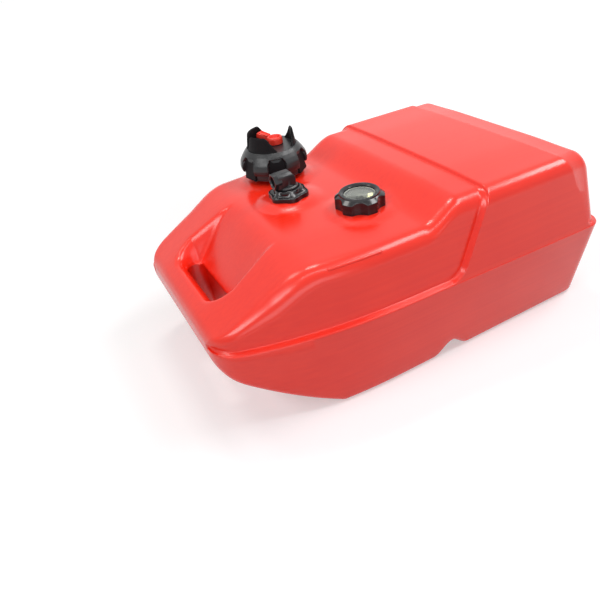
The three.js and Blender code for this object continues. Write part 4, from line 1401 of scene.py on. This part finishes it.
    def knob(self) -> BMesh:
        """Dished hub on its stem, with the forked arm.

        Returns:
            The knob, about its own axis.
        """
        hub = Bench.lathe([(0.0, 0.3, 0.0), (10.5, 0.3, 1.0), (10.5, 7.6, 1.6), (9.4, 10.0, 0.7),
                           (7.9, 10.0, 0.9), (6.4, 5.4, 1.8), (0.0, 4.8, 0.0)])
        stem = Bench.lathe([(0.0, -4.0, 0.0), (4.0, -4.0, 0.6), (4.0, 6.0, 0.0), (0.0, 6.0, 0.0)], 48)
        outline = [(8.3, -4.6), (12.0, -4.0), (17.0, -4.4), (24.0, -5.6), (28.0, -5.7), (28.0, -1.8),
                   (13.6, -1.5), (13.0, 0.0), (13.6, 1.5), (28.0, 1.8), (28.0, 5.7), (24.0, 5.6),
                   (17.0, 4.4), (12.0, 4.0), (8.3, 4.6)]
        arm = Bench.prism(outline, 1.0, 7.4, 0.9, 3)
        ribs = [Bench.prism([(11.5, y - 0.8), (27.2, y - 0.8), (27.2, y + 0.8), (11.5, y + 0.8)],
                            6.6, 8.6, 0.6, 2) for y in (-3.6, 3.6)]
        arm = Bench.turned(Bench.turned(Bench.joined(arm, *ribs), -self.arm_tilt, "Y"), self.arm_angle, "Z")
        return Bench.joined(hub, stem, arm)

    def build(self, bench: Bench) -> None:
        """Make every piece of the cap.

        Args:
            bench: the shared bench.
        """
        x, y, deck = self.at
        shell = bench.piece(Bench.joined(self.shell(), *[self.ear(c) for c in self.ears]), "cap_crown",
                            Slot.CAP, "cap", self.at)
        shell.data.materials.append(bench.finishes.materials[Slot.GRIP])
        vent = (x + self.vent[0], y + self.vent[1])
        bench.cut(shell, Bench.moved(Bench.drum(4.5, 34.0, 56.0), (*vent, deck)))
        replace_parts(shell, "cap_shell")
        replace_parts(bench.piece(self.plug(), "cap_thread", Slot.CAP, "plug", self.at), "cap_plug")
        gasket = Bench.lathe([(24.3, 24.3, 0.0), (27.7, 24.3, 0.8), (27.7, 26.3, 0.8), (24.3, 26.3, 0.0),
                              (24.3, 24.3, 0.0)], close=True)
        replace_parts(bench.piece(gasket, "cap_seal_ring", Slot.SEAL, "plug", self.at), "cap_gasket")
        knob = bench.piece(self.knob(), "vent_lever", Slot.VENT, "vent", (*vent, deck + self.top))
        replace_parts(knob, "vent_knob")


@dataclass
class PickUp:
    """Lobed nut and the swivelling elbow of the fuel pick-up."""

    at: Triple = (-86.0, 24.0, 191.0)
    lobes: int = 6
    lobe_radius: float = 26.5
    waist: float = 3.0
    first: float = -100.0
    axis: float = 30.5

    def _rim(self, angle: float) -> float:
        """Radius of the lobed outline."""
        return self.lobe_radius - self.waist * self._panel(angle)

    def _panel(self, angle: float) -> float:
        """0 on a lobe, 1 midway between two."""
        return (1.0 - math.cos(self.lobes * (angle - math.radians(self.first)))) / 2.0

    def nut(self) -> BMesh:
        """Loft the nut: a lobed rim, dished panels between ridges, and the mouth.

        Returns:
            The nut.
        """
        steps = 240
        angles = [2.0 * math.pi * i / steps for i in range(steps)]

        def ring(radius: Callable[[float], float], height: Callable[[float], float]) -> list[Vector]:
            """Ring of points whose radius and height depend on their direction."""
            return [Vector((radius(a) * math.cos(a), radius(a) * math.sin(a), height(a))) for a in angles]

        def plain(*pairs: Point) -> list[list[Vector]]:
            """Round, level rings of some radii and heights."""
            return [ring(lambda a, r=r: r, lambda a, z=z: z) for r, z in pairs]

        rings = plain((18.9, 16.3), (18.9, 5.9), (19.4, 5.3))
        rings += [ring(lambda a, d=d: self._rim(a) - d, lambda a, z=z: z) for d, z in
                  ((0.8, 5.3), (0.3, 5.45), (0.0, 6.0), (0.0, 8.0), (0.0, 11.4), (0.1, 11.9), (0.4, 12.45),
                   (0.9, 12.75), (1.5, 12.75), (2.0, 12.5))]
        rings += [ring(lambda a, t=t: mix(self._rim(a) - 2.4, 17.4, t),
                       lambda a, t=t: 12.2 + 6.2 * t ** mix(1.05, 3.2, self._panel(a)))
                  for t in [i / 14 for i in range(15)]]
        rings += plain((16.9, 18.8), (16.2, 19.0), (15.3, 19.0), (14.8, 18.8), (14.6, 18.3), (14.6, 16.3))
        return Bench.loops(rings, closed=True)

    def stem(self) -> BMesh:
        """Spigot, collar and stem of the elbow."""
        return Bench.lathe([
            (0.0, 2.4, 0.0), (8.7, 2.4, 0.8), (8.7, 8.8, 0.2), (7.1, 8.8, 0.2), (7.1, 10.4, 0.2),
            (8.7, 10.4, 0.2), (8.7, 16.4, 0.0), (14.0, 16.4, 0.3), (14.0, 20.6, 0.8), (12.2, 22.4, 0.6),
            (9.4, 22.4, 1.2), (9.0, self.axis, 0.0), (0.0, self.axis, 0.0)], arc=4)

    def head(self) -> BMesh:
        """Box of the elbow with its chamfered crown.

        Returns:
            The box, about the outlet's axis.
        """
        bm = Bench.turned(Bench.prism([(-15.0, -10.0), (9.0, -10.0), (9.0, 2.0), (3.4, 10.0), (-15.0, 10.0)],
                                      -9.0, 9.0), 90.0, "X")
        long = [e for e in bm.edges if all(v.co.z > 9.9 for v in e.verts)
                and abs(e.verts[0].co.y - e.verts[1].co.y) < 0.1]
        bmesh.ops.bevel(bm, geom=long, offset=4.0, offset_type="OFFSET", segments=1, profile=0.5,
                        affect="EDGES", clamp_overlap=True, material=-1)
        Bench.rounded(bm, 0.8, 3)
        return bm

    def outlet(self) -> BMesh:
        """Hexagonal outlet that points towards the nose."""
        flats = [(10.9 * math.cos(math.radians(a)), 10.9 * math.sin(math.radians(a)))
                 for a in falling(6, 30.0)]
        return Bench.turned(Bench.prism(flats, 0.0, 10.0, 0.7, 3), -90.0, "Y", (-10.0, 0.0, 0.0))

    def build(self, bench: Bench) -> None:
        """Make the nut and the elbow.

        Args:
            bench: the shared bench.
        """
        x, y, deck = self.at
        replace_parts(bench.piece(self.nut(), "pickup_collar_nut", Slot.GLOSS, "tank", self.at), "pickup_nut")
        axis = (x, y, deck + self.axis)
        stem = bench.piece(self.stem(), "elbow_stem", Slot.CAP, "elbow", self.at)
        head = bench.piece(self.head(), "elbow_head", Slot.CAP, "elbow", axis)
        outlet = bench.piece(self.outlet(), "elbow_outlet", Slot.CAP, "elbow", axis)
        for piece in (head, outlet):
            mouth = Bench.lathe([(0.0, -4.0, 0.0), (5.0, -4.0, 0.0), (5.0, 4.5, 0.0), (6.6, 5.8, 0.0),
                                 (6.6, 10.2, 0.0), (8.2, 12.2, 0.0), (0.0, 12.2, 0.0)], 64)
            bench.cut(piece, Bench.turned(mouth, -90.0, "Y", (x - 8.2, y, deck + self.axis)))
        for piece in (stem, head, outlet):
            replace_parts(piece, "pickup_elbow")


@dataclass
class Gauge:
    """Level gauge: screw ring, window, dial with its marks, and the pointer."""

    at: Triple = (-29.5, -59.0, 191.0)
    low: float = 3.3
    top: float = 23.3
    radius: float = 30.6
    scallops: tuple[float, ...] = tuple(falling(6, -122.0))
    scallop_radius: float = 17.0
    scallop_depth: float = 4.0
    dial_radius: float = 18.5
    dial_top: float = 15.6
    first_mark: float = -38.0
    sweep: float = 289.0
    scallop_from: float = 25.8
    scallop_span: float = 0.6
    mark_count: int = 9
    mark_half: float = 0.35
    pointer_start: float = -59.0
    pointer_sweep: float = 42.0

    def _scallop(self, radius: float, angle: float, height: float) -> Point:
        """Press the finger scallops into the ring's side.

        Args:
            radius: radius of a point of the ring.
            angle: its direction, in radians.
            height: its height.

        Returns:
            Its new radius and height.
        """
        if radius < self.scallop_from or height > self.top - 2.3:
            return radius, height
        away = self.radius + self.scallop_radius - self.scallop_depth
        off = off_center(angle, self.scallops)
        rest = self.scallop_radius ** 2 - (away * math.sin(off)) ** 2
        if rest <= 0.0 or abs(off) > self.scallop_span:
            return radius, height
        return soft_min(radius, away * math.cos(off) - math.sqrt(rest), 0.4), height

    def ring(self) -> BMesh:
        """Turn the screw ring and press its scallops.

        Returns:
            The ring.
        """
        top, low, out = self.top, self.low, self.radius
        bm = Bench.lathe([
            (24.9, low, 0.0), (out, low, 0.8), (out, top - 6.0, 0.7), (25.0, top - 2.2, 0.5),
            (24.7, top, 0.7), (22.4, top, 0.8), (18.8, top - 2.2, 0.2), (23.0, top - 2.2, 0.0),
            (23.0, top - 4.6, 0.0), (18.9, top - 4.6, 0.0), (18.9, top - 5.1, 0.0),
            (23.4, top - 5.1, 0.0), (24.9, top - 6.2, 0.0), (24.9, low, 0.0)], 320, longest=1.0, close=True)
        Bench.shaped(bm, self._scallop)
        return bm

    def lens(self) -> BMesh:
        """Window with a faintly domed face."""
        return Bench.lathe([(0.0, 18.8, 0.0), (22.5, 18.8, 0.3), (22.5, 20.1, 0.4), (18.0, 20.45, 4.0),
                            (9.0, 20.72, 6.0), (0.0, 20.8, 0.0)])

    def dial(self) -> BMesh:
        """Dial plate with a fine ring, and a thin wall up to the window whose dark grey is painted shade over
        the pale cup wall behind it.
        """
        top, out = self.dial_top, self.dial_radius
        # The wall at the plate's rim is a dark sheet of painted shade that hides the pale cup wall inside the
        # window.
        return Bench.lathe([(r, z, 0.0) for r, z in (
            (4.2, top - 1.0), (out, top - 1.0), (out, top + 2.5), (18.1, top + 2.5), (17.9, top - 0.15),
            (12.2, top - 0.15), (12.0, top), (4.2, top), (4.2, top - 1.0))], 128, close=True)

    def marks(self) -> BMesh:
        """Raised marks at quarters and between them.

        Returns:
            The marks.
        """
        bars, half = [], self.mark_half
        for i in range(self.mark_count):
            inner = 15.6 if i % 2 == 0 else 16.4
            bar = Bench.prism([(inner, -half), (17.6, -half), (17.6, half), (inner, half)],
                              self.dial_top - 0.16, self.dial_top - 0.05)
            bars.append(Bench.turned(bar, self.first_mark - self.sweep * i / (self.mark_count - 1.0), "Z"))
        return Bench.joined(*bars)

    def _sector(self, inner: float, outer: float, steps: int = 14) -> list[Point]:
        """Outline of the pointer between two radii.

        Args:
            inner: the smaller radius.
            outer: the larger radius.
            steps: segments of each arc.

        Returns:
            The outline.
        """
        turns = [math.radians(self.pointer_start + self.pointer_sweep * i / steps) for i in range(steps + 1)]
        return ([(outer * math.cos(a), outer * math.sin(a)) for a in turns]
                + [(inner * math.cos(a), inner * math.sin(a)) for a in turns[::-1]])

    def pointer(self) -> BMesh:
        """Broad pointer on its hub.

        Returns:
            The pointer, with its hub and inner part in its second material.
        """
        hub = Bench.lathe([(0.0, 15.9, 0.0), (2.8, 15.9, 0.2), (2.8, 17.5, 0.6), (0.0, 17.5, 0.0)], 48)
        carrier = Bench.joined(hub, Bench.prism(self._sector(1.4, 10.4), 15.9, 16.5, 0.25, 2))
        for face in carrier.faces:
            face.material_index = 1
        return Bench.joined(carrier, Bench.prism(self._sector(9.8, 15.5), 15.9, 16.8, 0.25, 2))

    def build(self, bench: Bench) -> None:
        """Make every visible piece of the gauge.

        Args:
            bench: the shared bench.
        """
        for bm, name, slot, body, node in (
                (self.ring(), "gauge_bezel", Slot.GLOSS, "tank", "gauge_ring"),
                (self.lens(), "gauge_window", Slot.LENS, "tank", "gauge_lens"),
                (self.dial(), "gauge_plate", Slot.DIAL, "tank", "gauge_dial")):
            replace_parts(bench.piece(bm, name, slot, body, self.at), node)
        hand = bench.piece(self.pointer(), "gauge_hand", Slot.POINTER, "pointer", self.at)
        hand.data.materials.append(bench.finishes.materials[Slot.MARKS])
        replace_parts(hand, "gauge_pointer")
        marks = bench.piece(self.marks(), "gauge_marks", Slot.MARKS, "tank", self.at)


@dataclass
class Studio:
    """Camera, floor and soft lights."""

    azimuth: float = -22.47
    elevation: float = 34.34
    roll: float = -8.75
    focal_share: float = 595.3 / 600.0
    target: Triple = (-129.3, -64.4, 100.0)
    distance: float = 743.0
    sensor: float = 36.0
    look_height: float = 0.1

    WARM, COOL = (1.0, 0.96, 0.90), (0.90, 0.95, 1.0)
    # Name, place and size in metres, power in watts and tint of each soft box.
    LAMPS = (
        ("boss_box", (0.04, 0.40, 1.40), (0.36, 0.18), 4.0, WARM),
        ("nose_box", (-0.58, 0.55, 1.40), (0.40, 0.30), 2.6, WARM),
        ("left_box", (-1.12, -0.28, 1.15), (0.9, 0.26), 6.4, WHITE[:3]),
        ("right_box", (0.60, -0.38, 1.30), (0.60, 0.28), 5.4, WHITE[:3]),
        ("tail_box", (1.25, -0.22, 1.28), (0.6, 0.26), 5.8, WHITE[:3]),
        ("front_strip", (-0.10, -0.52, 1.40), (1.15, 0.09), 2.8, WHITE[:3]),
        ("side_fill", (-0.4, -1.6, 0.6), (1.4, 0.6), 6.0, COOL),
    )

    def camera(self) -> None:
        """Place the camera as the photograph was taken."""
        az, el, roll = (math.radians(v) for v in (self.azimuth, self.elevation, self.roll))
        back = Vector((math.sin(az) * math.cos(el), -math.cos(az) * math.cos(el), math.sin(el)))
        right = (-back).cross(Vector((0, 0, 1))).normalized()
        up = right.cross(-back)
        side = right * math.cos(roll) + up * math.sin(roll)
        over = up * math.cos(roll) - right * math.sin(roll)
        data = bpy.data.cameras.new("camera")
        data.sensor_fit = "HORIZONTAL"
        data.sensor_width = self.sensor
        data.lens = self.sensor * self.focal_share
        data.clip_start, data.clip_end = 0.01, 50.0
        made = placed("camera", data)
        turn = Matrix((side, over, back)).transposed().to_4x4()
        made.matrix_world = Matrix.Translation((Vector(self.target) + back * self.distance) * MM) @ turn
        bpy.context.scene.camera = made

    def lamp(self, name: str, at: Triple, size: Point, power: float, tint: Triple) -> None:
        """Add a soft box that looks at the tank.

        Args:
            name: the lamp's name.
            at: its place, in metres.
            size: its width and height, in metres.
            power: its power, in watts.
            tint: its colour.
        """
        data = bpy.data.lights.new(name, "AREA")
        data.shape = "RECTANGLE"
        data.size, data.size_y = size
        data.energy = power
        data.color = tint
        made = placed(name, data)
        made.location = at
        away = Vector(at) - Vector((0, 0, self.look_height))
        made.rotation_euler = away.to_track_quat("Z", "Y").to_euler()

    def floor(self) -> None:
        """Lay a large pale floor that the camera sees as white but for its shadows."""
        bm = bmesh.new()
        bmesh.ops.create_grid(bm, x_segments=1, y_segments=1, size=6.0)
        mesh = bpy.data.meshes.new("floor")
        bm.to_mesh(mesh)
        bm.free()
        made = placed("floor", mesh)
        material = bpy.data.materials.new("floor_pale")
        material.use_nodes = True
        shader = material.node_tree.nodes["Principled BSDF"]
        shader.inputs["Base Color"].default_value = (0.64, 0.64, 0.65, 1.0)
        shader.inputs["Roughness"].default_value = 0.7
        shader.inputs["Emission Color"].default_value = WHITE
        g = Graph(material.node_tree)
        away = g.node("ShaderNodeVectorMath", operation="LENGTH")
        g.link(g.node("ShaderNodeTexCoord").outputs["Object"], away.inputs[0])
        far = g.node("ShaderNodeMapRange", interpolation_type="SMOOTHSTEP", in_Value=away.outputs["Value"],
                     in_From_Min=0.45, in_From_Max=1.3, in_To_Min=0.42, in_To_Max=1.0)
        g.link(g.math("MULTIPLY", far.outputs[0], self.seen(g)), shader.inputs["Emission Strength"])
        made.data.materials.append(material)

    @staticmethod
    def seen(g: Graph) -> bpy.types.NodeSocket:
        """1 for rays from the camera, or by way of gloss or glass."""
        path = g.node("ShaderNodeLightPath")
        return g.math("MINIMUM", g.math("ADD", g.math("ADD", path.outputs["Is Camera Ray"],
                                                      path.outputs["Is Glossy Ray"]),
                                        path.outputs["Is Transmission Ray"]), 1.0)

    def world(self) -> None:
        """Light the scene evenly, with a white background for the camera."""
        world = bpy.data.worlds.new("studio")
        bpy.context.scene.world = world
        world.use_nodes = True
        g = Graph(world.node_tree)
        out = world.node_tree.nodes["World Output"]
        soft = world.node_tree.nodes["Background"]
        soft.inputs["Color"].default_value = WHITE
        soft.inputs["Strength"].default_value = 0.12
        white = g.node("ShaderNodeBackground", in_Strength=1.0, in_Color=WHITE)
        join = g.node("ShaderNodeMixShader")
        g.link(self.seen(g), join.inputs[0])
        g.link(soft.outputs[0], join.inputs[1])
        g.link(white.outputs[0], join.inputs[2])
        g.link(join.outputs[0], out.inputs["Surface"])

    def build(self) -> None:
        """Set up camera, floor, lights and view."""
        self.camera()
        self.floor()
        self.world()
        for lamp in self.LAMPS:
            self.lamp(*lamp)
        bpy.context.scene.view_settings.view_transform = "Standard"


def main() -> None:
    """Build the studio and the tank in order."""
    logging.basicConfig(level=logging.INFO, format="%(message)s")
    finishes = FinishBook()
    finishes.dress_frame()
    bench = Bench(finishes)
    Studio().build()
    for part in (TankMoulding(), FillerCap(), PickUp(), Gauge()):
        part.build(bench)


if __name__ == "__main__":
    main()
